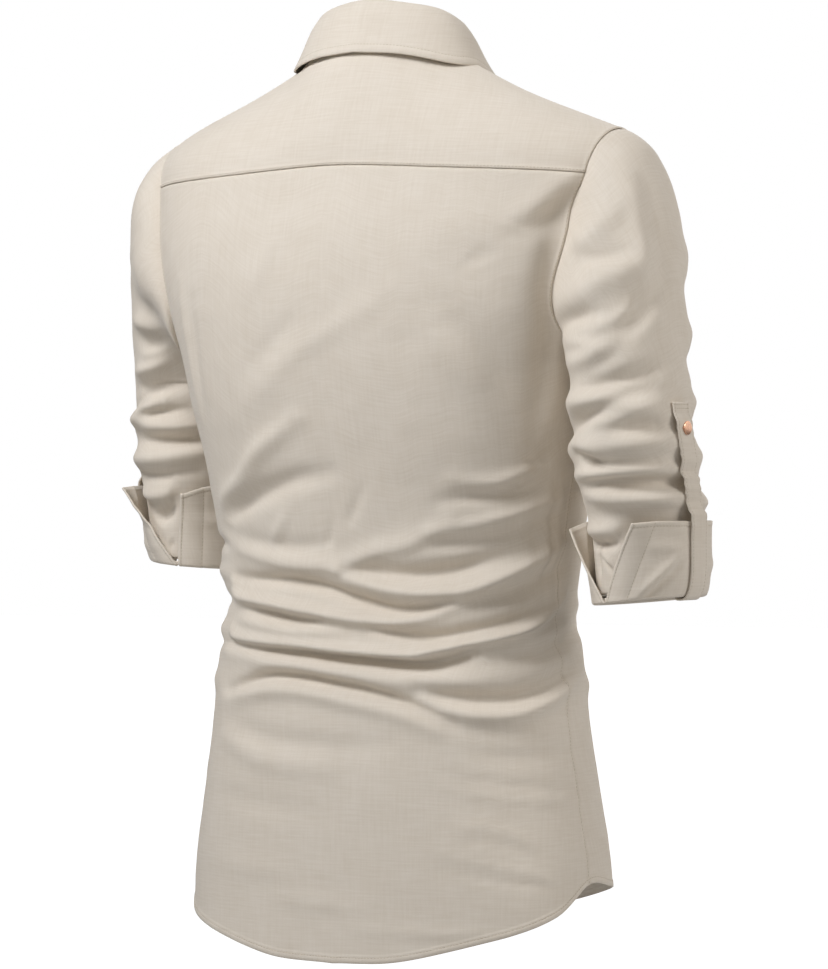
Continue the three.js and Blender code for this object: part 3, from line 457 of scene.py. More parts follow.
@dataclass(frozen=True)
class ClothNet:
    """Rows and columns of points on the outer face of a piece of cloth."""

    points: np.ndarray
    facing: np.ndarray
    fullness: np.ndarray
    closed: bool = False
    outward: int = 1

    @classmethod
    def over(cls, points: np.ndarray, closed: bool = False, outward: int = 1) -> "ClothNet":
        """A net over points, with the way that the cloth faces worked out.

        Args:
            points: Rows from the top down, of columns of points.
            closed: Whether the last column meets the first.
            outward: 1, or -1 where the columns run the other way round.

        Returns:
            The net.
        """
        if closed:
            across = np.roll(points, -1, axis=1) - np.roll(points, 1, axis=1)
        else:
            across = np.gradient(points, axis=1)
        down = np.gradient(points, axis=0)
        return cls(points, unit(np.cross(down, across)) * outward, np.ones(points.shape[:2]), closed, outward)

    def raised(self, height: np.ndarray) -> "ClothNet":
        """The net moved out by a height at each point."""
        return ClothNet.over(self.points + self.facing * height[..., None], self.closed, self.outward)

    def rows(self, start: int, end: int | None = None) -> "ClothNet":
        """A net of some of the rows."""
        part = slice(start, end)
        return ClothNet(self.points[part], self.facing[part], self.fullness[part], self.closed, self.outward)

    def turned(self, edge: Edge) -> "ClothNet":
        """The net laid so that the given edge is its first row. Turning it twice brings it back.

        Args:
            edge: The edge.

        Returns:
            The turned net.
        """
        arrays = [self.points, self.facing, self.fullness]
        if edge in (Edge.LEFT, Edge.RIGHT):
            arrays = [array.swapaxes(0, 1) for array in arrays]
        if edge is Edge.BOTTOM:
            arrays = [array[::-1] for array in arrays]
        return ClothNet(*arrays, self.closed, self.outward)

    def edged(
        self, edge: Edge, profile: Profile, other: Profile | None = None, weight: Values = 0
    ) -> "ClothNet":
        """The net with its rows near one edge laid at set distances from it.

        Args:
            edge: The edge.
            profile: Distance from the edge and rise of each row. A distance below 0 runs on past the edge.
            other: A second profile with as many rows.
            weight: How far each column goes over to the second profile.

        Returns:
            The new net.
        """
        net = self.turned(edge)
        flip = edge is Edge.RIGHT
        points, facing, fullness = net.points, net.facing, net.fullness
        if flip:
            points, facing, fullness = points[::-1], facing[::-1], fullness[::-1]
        lengths = np.linalg.norm(np.diff(points, axis=0), axis=-1)
        travelled = np.vstack([np.zeros(points.shape[1]), np.cumsum(lengths, axis=0)])
        pick = np.arange(points.shape[1])
        new_points, new_facing, new_fullness = [], [], []
        for order, ((inset, rise), (other_inset, other_rise)) in enumerate(zip(profile, other or profile)):
            place = mix(inset, other_inset, weight) + np.zeros(points.shape[1])
            lift = mix(rise, other_rise, weight) + np.zeros(points.shape[1])
            row = np.clip((travelled <= place).sum(axis=0) - 1, 0, len(points) - 2)
            share = (place - travelled[row, pick]) / (travelled[row + 1, pick] - travelled[row, pick])
            here = mix(points[row, pick], points[row + 1, pick], share[:, None])
            inside = np.clip(share, 0, 1)
            way = unit(mix(facing[row, pick], facing[row + 1, pick], inside[:, None]))
            new_points.append(here + way * lift[:, None])
            new_facing.append(way)
            full = mix(fullness[row, pick], fullness[row + 1, pick], inside)
            new_fullness.append(full * (EDGE_THINNING if order == 0 else 1))
        kept = int((travelled < profile[-1][0] + ROW_ROOM).sum(axis=0).max())
        points = np.concatenate([np.array(new_points), points[kept:]])
        facing = np.concatenate([np.array(new_facing), facing[kept:]])
        fullness = np.concatenate([np.array(new_fullness), fullness[kept:]])
        if flip:
            points, facing, fullness = points[::-1], facing[::-1], fullness[::-1]
        changed = ClothNet(points, facing, fullness, self.closed, self.outward)
        return changed.turned(edge)

    def edged_on(self, edges: Sequence[Edge], profile: Profile) -> "ClothNet":
        """The net with the same profile laid along several edges, one after the other.

        Args:
            edges: The edges in order.
            profile: Distance and rise of each row.

        Returns:
            The new net.
        """
        net = self
        for edge in edges:
            net = net.edged(edge, profile)
        return net

    def row_line(self, inset: float, from_bottom: bool = False) -> Line:
        """The line at one distance from the top or bottom edge, and the way the cloth faces there.

        Args:
            inset: Distance from the edge.
            from_bottom: Whether the edge is the bottom one.

        Returns:
            The line's points and the ways.
        """
        net = self.turned(Edge.BOTTOM) if from_bottom else self
        strip = net.edged(Edge.TOP, ((inset, 0),))
        return strip.points[0], strip.facing[0]

    def column_line(self, inset: float, edge: Edge) -> Line:
        """The line at one distance from the left or right edge, and the way the cloth faces there.

        Args:
            inset: Distance from the edge.
            edge: The edge.

        Returns:
            The line's points and the ways.
        """
        strip = self.edged(edge, ((inset, 0),))
        column = 0 if edge is Edge.LEFT else -1
        return strip.points[:, column], strip.facing[:, column]


@dataclass(frozen=True)
class Piece:
    """What a visible piece is called and what it stands for; its slot is kept but not used."""

    name: str
    nodes: tuple[str, ...] = ()
    slot: Slot = Slot.LINEN

    def place(self, thing: Object) -> Object:
        """Puts the piece on the garment's one body and hides the parts it replaces.

        Args:
            thing: The object.

        Returns:
            The same object.
        """
        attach(thing, "root")
        if self.nodes:
            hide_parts(*self.nodes)
        log.info("%s: %d faces", thing.name, len(thing.data.polygons))
        return thing


def mesh_object(name: str, points: np.ndarray, faces: list, finish: Material) -> Object:
    """Makes a smooth mesh object.

    Args:
        name: Name of the object.
        points: Its points in millimetres.
        faces: The corners of each face.
        finish: Its material.

    Returns:
        The new object, at the origin.
    """
    mesh = bpy.data.meshes.new(name)
    mesh.from_pydata((points * MM).tolist(), [], faces)
    mesh.shade_smooth()
    mesh.materials.append(finish)
    thing = bpy.data.objects.new(name, mesh)
    bpy.context.scene.collection.objects.link(thing)
    return thing


def grain(net: ClothNet) -> np.ndarray:
    """Places on the cloth along and down its threads, with one more column where the net closes.

    Args:
        net: The net.

    Returns:
        Two lengths for each point.
    """
    points = net.points
    if net.closed:
        points = np.concatenate([points, points[:, :1]], axis=1)
    steps = np.linalg.norm(np.diff(points, axis=1), axis=-1)
    along = np.concatenate([np.zeros((len(points), 1)), np.cumsum(steps, axis=1)], axis=1)
    along -= along[:, along.shape[1] // 2, None]
    drops = np.linalg.norm(np.diff(points, axis=0), axis=-1)
    down = np.concatenate([np.cumsum(drops[::-1], axis=0)[::-1], np.zeros((1, points.shape[1]))])
    down += points[-1:, :, 2]
    return np.stack([along, down], axis=-1)


def wall_faces(left: np.ndarray, right: np.ndarray, closed: bool, behind: int) -> np.ndarray:
    """Corners of the faces of a wall: its outer skin, its inner skin and the rims between them.

    Args:
        left: Number of each face's left corner on the outer skin, with one row more than there are faces.
        right: Number of each face's right corner.
        closed: Whether the last column meets the first, so that the sides have no rims.
        behind: What is added to a number on the outer skin to get the one behind it.

    Returns:
        Four corners for each face.
    """
    skin = np.stack([left[:-1], left[1:], right[1:], right[:-1]], axis=-1).reshape(-1, 4)
    rims = [(left[0], right[0]), (right[-1], left[-1])]
    if not closed:
        rims += [(left[1:, 0], left[:-1, 0]), (right[:-1, -1], right[1:, -1])]
    strips = [np.stack([start, end, end + behind, start + behind], axis=-1) for start, end in rims]
    return np.vstack([skin, skin[:, ::-1] + behind, *strips])


def wall_object(name: str, net: ClothNet, thickness: float, finish: Material) -> Object:
    """Makes a closed wall of cloth from a net, with its threads laid out as a UV map.

    Args:
        name: Name of the piece.
        net: Points on its outer face.
        thickness: How thick the cloth is.
        finish: Its material.

    Returns:
        The new object.
    """
    thinned = thickness * (1 - net.fullness[..., None]) / 2
    outer = net.points - net.facing * thinned
    inner = net.points - net.facing * (thickness - thinned)
    index = np.arange(net.fullness.size).reshape(net.fullness.shape)
    left = index if net.closed else index[:, :-1]
    right = np.roll(index, -1, axis=1) if net.closed else index[:, 1:]
    faces = wall_faces(left, right, net.closed, index.size)
    threads = grain(net) * MM
    spots = np.arange(threads[..., 0].size).reshape(threads.shape[:2])
    corners = wall_faces(spots[:, :-1], spots[:, 1:], net.closed, 0)
    if net.outward < 0:
        faces, corners = faces[:, ::-1], corners[:, ::-1]
    points = np.vstack([outer.reshape(-1, 3), inner.reshape(-1, 3)])
    thing = mesh_object(name, points, faces.tolist(), finish)
    layer = thing.data.uv_layers.new(name="threads")
    layer.data.foreach_set("uv", threads.reshape(-1, 2)[corners.reshape(-1)].reshape(-1))
    return thing


@dataclass(frozen=True)
class Thread:
    """Sewing thread: how long each stitch shows, the gap to the next, and how thick it is."""

    stitch: float = 2.2
    gap: float = 0.7
    half_width: float = 0.34
    proud: float = 0.3
    sides: int = 5
    swell: tuple[float, ...] = (0.35, 1, 0.35)

    def row(self, line: Line) -> tuple[np.ndarray, list]:
        """The stitches along one line.

        Args:
            line: Points of the line, and the way the cloth faces at each.

        Returns:
            The points of the stitches and the corners of their faces.
        """
        places, facing = line
        steps = np.linalg.norm(np.diff(places, axis=0), axis=-1)
        travelled = np.concatenate([[0], np.cumsum(steps)])
        count = int(travelled[-1] // (self.stitch + self.gap))
        starts = np.arange(count) * (self.stitch + self.gap) + self.gap
        stations = starts[:, None] + self.stitch * np.array([0, 0.5, 1])

        def at(values: np.ndarray) -> np.ndarray:
            """Values along the line at each station."""
            return np.stack([np.interp(stations, travelled, values[:, axis]) for axis in range(3)], axis=-1)

        centre, up = at(places), unit(at(facing))
        run = unit(centre[:, 2:] - centre[:, :1])
        side = unit(np.cross(np.broadcast_to(run, up.shape), up))
        turn = np.arange(self.sides) * 2 * math.pi / self.sides
        swell = np.array(self.swell)[:, None, None]
        ring = (
            centre[:, :, None]
            + side[:, :, None] * (np.cos(turn)[:, None] * swell * self.half_width)
            + up[:, :, None] * (np.sin(turn)[:, None] * swell * self.proud)
        )
        points = ring.reshape(-1, 3)
        here = np.arange(self.sides)
        beside = (here + 1) % self.sides
        belt = np.stack([beside, here, here + self.sides, beside + self.sides], axis=1)
        tube = np.vstack([belt, belt + self.sides])
        faces = []
        for base in range(0, count * 3 * self.sides, 3 * self.sides):
            faces.extend((tube + base).tolist())
            faces.append((base + here).tolist())
            faces.append((base + 2 * self.sides + here[::-1]).tolist())
        return points, faces

    def sew(self, piece: Piece, lines: Sequence[Line], finish: Material) -> Object:
        """Sews rows of stitches as one piece of thread work.

        Args:
            piece: What the thread work is called.
            lines: The lines it follows.
            finish: The material.

        Returns:
            The new object.
        """
        points, faces, base = [], [], 0
        for line in lines:
            row_points, row_faces = self.row(line)
            points.append(row_points)
            faces.extend([[corner + base for corner in face] for face in row_faces])
            base += len(row_points)
        return piece.place(mesh_object(piece.name, np.vstack(points), faces, finish))


@dataclass(frozen=True)
class Cut:
    """The flat size of one cut piece of cloth in metres, and its area where it isn't a rectangle."""

    width: float
    length: float
    area: float | None = None
    held: Held = Held.HUNG


@dataclass(frozen=True)
class Tailor:
    """Makes pieces of cloth from their nets and sews them."""

    linen: Material
    thread: Material

    def make(
        self,
        node: str,
        net: ClothNet,
        cut: Cut,
        thickness: float,
        lines: Sequence[Line] = (),
        on: Sequence[str] = (),
    ) -> None:
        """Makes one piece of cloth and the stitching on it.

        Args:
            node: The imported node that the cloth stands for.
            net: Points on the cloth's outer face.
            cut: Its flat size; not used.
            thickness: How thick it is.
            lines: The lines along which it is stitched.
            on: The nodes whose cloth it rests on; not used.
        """
        cloth = Piece(f"{node}_cloth", (node,))
        thing = cloth.place(wall_object(cloth.name, net, thickness, self.linen))
        seams = [Thread().sew(Piece(f"{node}_stitching"), lines, self.thread)] if lines else []


# How much deeper the folds are than their outlines alone tell, and how far the back is seen turned
SEEN_DEPTH = 1.5
SLEEVE_DEPTH = 1.3
SEEN_ANGLE = 30
# Folds of the back as they are seen: places across and up, the rise, and the reach above and below
SEEN_FOLDS = (
    (((-40, -421), (-11, -424), (17, -424), (48, -419), (77, -409), (110, -395)), -6, 9, 6.5),
    (
        ((-48, -423), (-37, -428), (-2, -436), (32, -438), (57, -435), (81, -426), (110, -412),
         (132, -396)),
        5.5, 5.5, 7,
    ),
    (
        ((-132, -427), (-117, -429), (-90, -431), (-63, -436), (-38, -445), (-7, -452), (18, -452),
         (41, -445)),
        -6.5, 6, 5,
    ),
    (
        ((-145, -431), (-132, -441), (-113, -446), (-82, -452), (-40, -459), (-11, -462), (18, -458),
         (41, -450)),
        5.5, 5, 6,
    ),
    (((-125, -451), (-107, -456), (-86, -461), (-61, -463)), -4, 4, 4),
    (((-132, -460), (-107, -467), (-82, -471), (-48, -472)), 2.5, 4, 5),
    (((-22, -468), (2, -473), (27, -475), (60, -470), (89, -463), (110, -455)), -6, 7, 4.5),
    (
        ((-147, -469), (-130, -477), (-82, -482), (-40, -486), (-4, -488), (14, -488), (32, -483),
         (73, -474), (105, -466), (122, -455), (135, -442)),
        6, 5.5, 4,
    ),
    (
        ((-140, -480), (-111, -485), (-82, -488), (-44, -492), (-7, -494), (27, -494), (48, -489),
         (58, -483)),
        -6.5, 4, 6,
    ),
    (
        ((-145, -487), (-113, -493), (-82, -498), (-44, -503), (-11, -508), (27, -509), (56, -508),
         (72, -505)),
        3.5, 7, 8,
    ),
    (
        ((-138, -520), (-125, -513), (-105, -507), (-82, -508), (-57, -512), (-23, -518), (10, -528),
         (45, -540)),
        -6, 5, 5.5,
    ),
    (
        ((-145, -525), (-128, -522), (-100, -517), (-65, -520), (-37, -526), (2, -535), (31, -547)),
        3.5, 5, 8,
    ),
    (((18, -515), (39, -521), (68, -523), (98, -521), (122, -513), (140, -502)), -5.5, 8, 6),
    (((22, -526), (39, -531), (55, -534), (89, -535), (114, -528), (133, -518), (150, -497)), 5, 5.5, 7),
    (((67, -445), (93, -438), (118, -426), (140, -412)), -4, 8, 8),
    (((81, -491), (110, -487), (135, -478), (150, -463)), -4, 8, 8),
    (((-82, -295), (-105, -314), (-118, -327), (-129, -345), (-143, -362), (-152, -380)), 4, 8, 7),
    (((-57, -340), (-82, -345), (-102, -352), (-123, -362), (-138, -372), (-147, -383)), -4.5, 9, 8),
    (
        ((-142, -399), (-119, -408), (-91, -416), (-65, -418), (-44, -418), (-17, -406), (16, -397),
         (43, -378)),
        3, 9, 6,
    ),
    (((-138, -391), (-113, -399), (-82, -402), (-57, -399)), -2, 8, 7),
    (((45, -346), (75, -349), (97, -342), (114, -332)), 3.2, 6, 4.5),
    (((35, -362), (68, -358), (98, -353), (122, -343)), -3.6, 5, 6),
    (((27, -388), (68, -380), (107, -369), (132, -358)), 3.2, 5.5, 5),
    (((22, -398), (67, -395), (105, -384), (128, -373)), -3.5, 5, 7),
    (((102, -337), (122, -320), (135, -299)), -4, 9, 9),
    (((-28, -352), (-35, -370), (-40, -382)), -1.4, 5, 5),
    (((-53, -378), (-56, -395), (-58, -402)), -1.4, 3.5, 3.5),
    (((-92, -372), (-98, -387), (-104, -399)), 1.8, 5, 5),
    (((38, -205), (50, -224), (63, -238), (85, -266), (102, -287)), -2.4, 11, 11),
    (((27, -220), (48, -249), (68, -278)), 1.4, 12, 12),
    (((56, -163), (64, -167), (72, -172)), -1.4, 12, 12),
    (((149, -91), (131, -108), (111, -124), (88, -140)), 2.4, 7, 7),
    (((142, -116), (122, -135), (102, -149)), -2.4, 8, 8),
    (
        ((136, -118), (129, -138), (124, -170), (122, -195), (123, -222), (118, -262), (112, -312)),
        -4.6, 7, 8,
    ),
    (((-181, -178), (-173, -237), (-165, -295)), 1.4, 4.5, 4.5),
    (((-172, -195), (-168, -245), (-160, -295)), -1.4, 4.5, 4.5),
    (((-8, -193), (-48, -220), (-82, -241), (-113, -272), (-132, -291)), 1.4, 10, 10),
    (((-82, -210), (-102, -232), (-122, -255)), -1.2, 8, 8),
    (((-102, -145), (-113, -170), (-123, -195)), 1, 8, 8),
    (((-143, -559), (-123, -570), (-102, -577), (-54, -581)), 2.4, 8, 8),
    (((-136, -545), (-107, -558), (-57, -563), (-7, -562)), -1.8, 9, 9),
    (((32, -591), (90, -600), (145, -605)), 1.1, 3.2, 3.2),
    (((35, -586), (90, -594), (145, -598)), -1.1, 3.2, 3.2),
    (((42, -628), (80, -630), (109, -641)), 1, 3, 3),
    (((42, -633), (80, -636), (109, -647)), -1, 3, 3),
    (((25, -648), (80, -660), (126, -669)), 1, 3, 3),
    (((25, -652), (80, -665), (126, -674)), -1, 3, 3),
    (((-102, -688), (-65, -692), (-25, -693)), 1.1, 4.5, 4.5),
    (((-40, -710), (18, -712), (66, -709)), 1, 4, 4),
    (((56, -566), (102, -570), (148, -566)), -1.2, 6, 6),
    (((-157, -603), (-115, -612), (-57, -617)), -1.2, 8, 8),
    (((-148, -662), (-115, -665), (-82, -667)), 1, 7, 7),
)
ROUND_FOLDS = (
    Fold(((-100, -392), (-76, -396), (-58, -400)), -4.5, 6, 6),
    Fold(((-104, -416), (-78, -420), (-60, -424)), 3.5, 7, 7),
    Fold(((-108, -440), (-80, -444), (-62, -446)), -5, 6, 6),
    Fold(((-106, -466), (-84, -466), (-64, -468)), 3.5, 7, 7),
    Fold(((-102, -484), (-80, -482), (-62, -480)), -3, 5, 5),
    Fold(((-104, -504), (-84, -506), (-62, -514)), 3, 8, 8),
    Fold(((78, -352), (81, -390), (80, -432)), 1.2, 2.4, 2.4),
    Fold(((84, -346), (86, -400), (85, -452)), 1.3, 2.6, 2.6),
    Fold(((81.5, -350), (83.5, -396), (82.5, -446)), -1.2, 2.2, 2.2),
    Fold(((75, -366), (77, -400), (76, -424)), -1, 2.4, 2.4),
    Fold(((122, -402), (152, -420), (196, -414)), 5, 8, 8),
    Fold(((116, -422), (150, -440), (200, -436)), -4.5, 7, 7),
    Fold(((108, -446), (150, -462), (210, -458)), 5, 7, 8),
    Fold(((112, -470), (140, -480), (190, -476)), -4, 6, 7),
    Fold(((160, -476), (200, -486), (244, -470)), 4, 8, 8),
    Fold(((200, -420), (226, -430), (262, -408)), 4.5, 7, 7),
    Fold(((196, -444), (222, -452), (258, -434)), -4.5, 7, 6),
    Fold(((104, -512), (132, -520), (172, -512)), 3.5, 8, 9),
    Fold(((188, -506), (220, -518), (258, -500)), 3, 8, 9),
    Fold(((112, -300), (128, -350), (150, -390)), -2.5, 10, 10),
    Fold(((208, -388), (232, -346), (250, -300)), -2.5, 10, 10),
    Fold(((120, -240), (138, -300), (160, -352)), 2, 11, 11),
    Fold(((204, -350), (224, -300), (242, -244)), 2, 11, 11),
)


@dataclass(frozen=True)
class BodyForm:
    """The outer shape of the body, from the underarms to the hem."""

    fold_scale: float = 2.1
    soft_bumps: Unevenness = Unevenness(seed=3, bumps_round=22, bump_length=46, height=0.9)
    small_bumps: Unevenness = Unevenness(seed=8, bumps_round=70, bump_length=13, height=0.26)
    seen_from: float = -58
    seen_to: float = 112
    girth_steps: int = 240

    def radius(self, z: np.ndarray, angle: np.ndarray) -> np.ndarray:
        """Distance from the axis to the cloth.

        Args:
            z: Height of each place.
            angle: Angle of each place.

        Returns:
            The distances.
        """
        sine = np.abs(np.sin(np.radians(angle)))
        cosine = np.cos(np.radians(angle))
        back = read(BODY_SECTIONS, "z", "back_depth", z)
        front = read(BODY_SECTIONS, "z", "front_depth", z)
        depth = np.where(cosine >= 0, back, front)
        power = read(BODY_SECTIONS, "z", "squareness", z)
        width = read(BODY_SECTIONS, "z", "half_width", z)
        return ((sine / width) ** power + (np.abs(cosine) / depth) ** power) ** (-1 / power)

    def point(self, z: np.ndarray, angle: np.ndarray) -> np.ndarray:
        """Point on the plain form.

        Args:
            z: Height of each place.
            angle: Angle of each place.

        Returns:
            The points.
        """
        radius = self.radius(z, angle)
        turn = np.radians(angle)
        return on_axes(-radius * np.sin(turn), radius * np.cos(turn), z)

    def angle_seen(self, across: np.ndarray, z: np.ndarray) -> np.ndarray:
        """Angle of a place on the back, from how far across it is seen.

        Args:
            across: How far across each place is seen.
            z: Height of each place.

        Returns:
            The angles.
        """
        angles = np.arange(self.seen_from, self.seen_to, dtype=float)
        aside = np.sin(np.radians(angles - SEEN_ANGLE))
        found = []
        for place, height in zip(across, z):
            seen_at = self.radius(np.full(len(angles), height), angles) * aside
            found.append(np.interp(place, seen_at, angles))
        return np.array(found)

    def fold_field(self) -> FoldField:
        """All the folds of the body.

        Returns:
            The folds laid out by angle and height.
        """
        folds = list(ROUND_FOLDS)
        for places, rise, above, below in SEEN_FOLDS:
            across, z = np.array(places, float).T
            spots = tuple(zip(self.angle_seen(across, z), z))
            if len(spots) == 3:
                middle = tuple(2 * b - (a + c) / 2 for a, b, c in zip(*spots))
                spots = (spots[0], middle, spots[2])
            folds.append(Fold(spots, rise * SEEN_DEPTH, above, below))
        return FoldField(tuple(folds), self.fold_scale)

    def folded(self, z: np.ndarray, angle: np.ndarray) -> np.ndarray:
        """Points of the cloth with its folds.

        Args:
            z: Height of each place.
            angle: Angle of each place.

        Returns:
            The points.
        """
        point = self.point(z, angle)
        ahead = self.point(z, angle + 1) - point
        out = unit(on_axes(ahead[..., 1], -ahead[..., 0], 0 * z))
        height = self.fold_field().height(angle, z)
        height += self.soft_bumps.at(angle, z) + self.small_bumps.at(angle, z)
        return point + out * height[..., None]

    def even_angles(self, z: float, start: float, end: float, count: int) -> np.ndarray:
        """Angles that share the girth between two angles into equal lengths.

        Args:
            z: Height of the row.
            start: The first angle.
            end: The last angle.
            count: How many lengths to share it into.

        Returns:
            The angles.
        """
        angles = np.linspace(start, end, self.girth_steps + 1)
        steps = np.linalg.norm(np.diff(self.point(np.full(len(angles), z), angles), axis=0), axis=-1)
        travelled = np.concatenate([[0], np.cumsum(steps)])
        return np.interp(np.linspace(0, travelled[-1], count + 1), travelled, angles)


@dataclass(frozen=True)
class NeckSeam:
    """The neck seam: an egg-shaped ring that falls towards the front, and the shoulder seams from it."""

    half_width: float = 68
    centre_y: float = 6
    back: float = 52
    front: float = 60
    side_z: float = -2
    back_rise: float = 16
    front_drop: float = 76
    to_shoulder: float = 112
    tip: tuple[float, float, float] = (-209, -24, -70)

    def point(self, angle: np.ndarray) -> np.ndarray:
        """Point of the neck seam at an angle from the centre back.

        Args:
            angle: Angle of each place.

        Returns:
            The points.
        """
        cosine = np.cos(np.radians(angle))
        depth = np.where(cosine >= 0, self.back, self.front)
        rise = np.where(cosine >= 0, self.back_rise, -self.front_drop)
        return on_axes(
            -self.half_width * np.sin(np.radians(angle)),
            self.centre_y + depth * cosine,
            self.side_z + rise * cosine**2,
        )

    def shoulder(self, share: np.ndarray) -> np.ndarray:
        """Point of the right front shoulder seam, from the neck, 0, to the armhole, 1."""
        neck = self.point(np.array(self.to_shoulder))
        return mix(neck, np.array(self.tip, float), np.asarray(share)[..., None])

    def top_edge(self, half: int, neck_columns: int, start_angle: float) -> np.ndarray:
        """Top edge of a panel from its left column to its right one.

        Args:
            half: Columns from the centre line to the armhole.
            neck_columns: How many of them lie on the neck seam.
            start_angle: Angle of the centre line, 0 at the back or 180 at the front.

        Returns:
            The points, the wearer's right side last.
        """
        place = np.abs(np.arange(-half, half + 1))
        on_neck = self.point(mix(start_angle, self.to_shoulder, np.minimum(place / neck_columns, 1)))
        on_shoulder = self.shoulder(np.clip((place - neck_columns) / (half - neck_columns), 0, 1))
        points = np.where((place <= neck_columns)[:, None], on_neck, on_shoulder)
        points[: half, 0] *= -1
        return points


# Profiles of edges: distance from the edge and rise over the cloth of each row
PLAIN_EDGE = ((0, 0), (CLOTH / 2, 0))
LAP = ((0, 0.2), (0.6, 0.45), (2.4, 0.45), (3.2, 0.1), (4.8, 0))
TUCK = ((-2, -1.5), (-0.2, -1.45), (0.8, -0.6), (2.2, -0.05), (4.8, 0))
TURNED_HEM = ((0, 0), (0.6, 0.5), (4.4, 0.55), (5.1, 0.15), (5.8, 0.5), (6.6, 0), (8.4, 0))
CUFF_TOP_EDGE = ((0, 0), (0.7, 0), (3.4, 0.1), (4.1, -0.25), (4.9, 0))
CUFF_SIDE_EDGE = ((0, 0), (0.8, 0.2), (2.3, 0.2), (2.9, -0.2), (3.6, 0.1), (20, 0.1), (21, -0.3), (22.2, 0))
TAB_EDGE = ((0, 0), (0.7, 0), (1.6, 0), (2.1, -0.2), (2.6, 0))
LEAF_HEM = ((0, 0), (0.7, 0.1), (6.6, 0.1), (7.5, -0.3), (8.4, 0), (9.6, 0))
PLACKET_EDGE = ((0, -0.2), (0.7, 0.1), (1.8, 0.1), (2.4, -0.3), (3, 0.05), (4, 0))
SIDES = (Edge.LEFT, Edge.RIGHT)


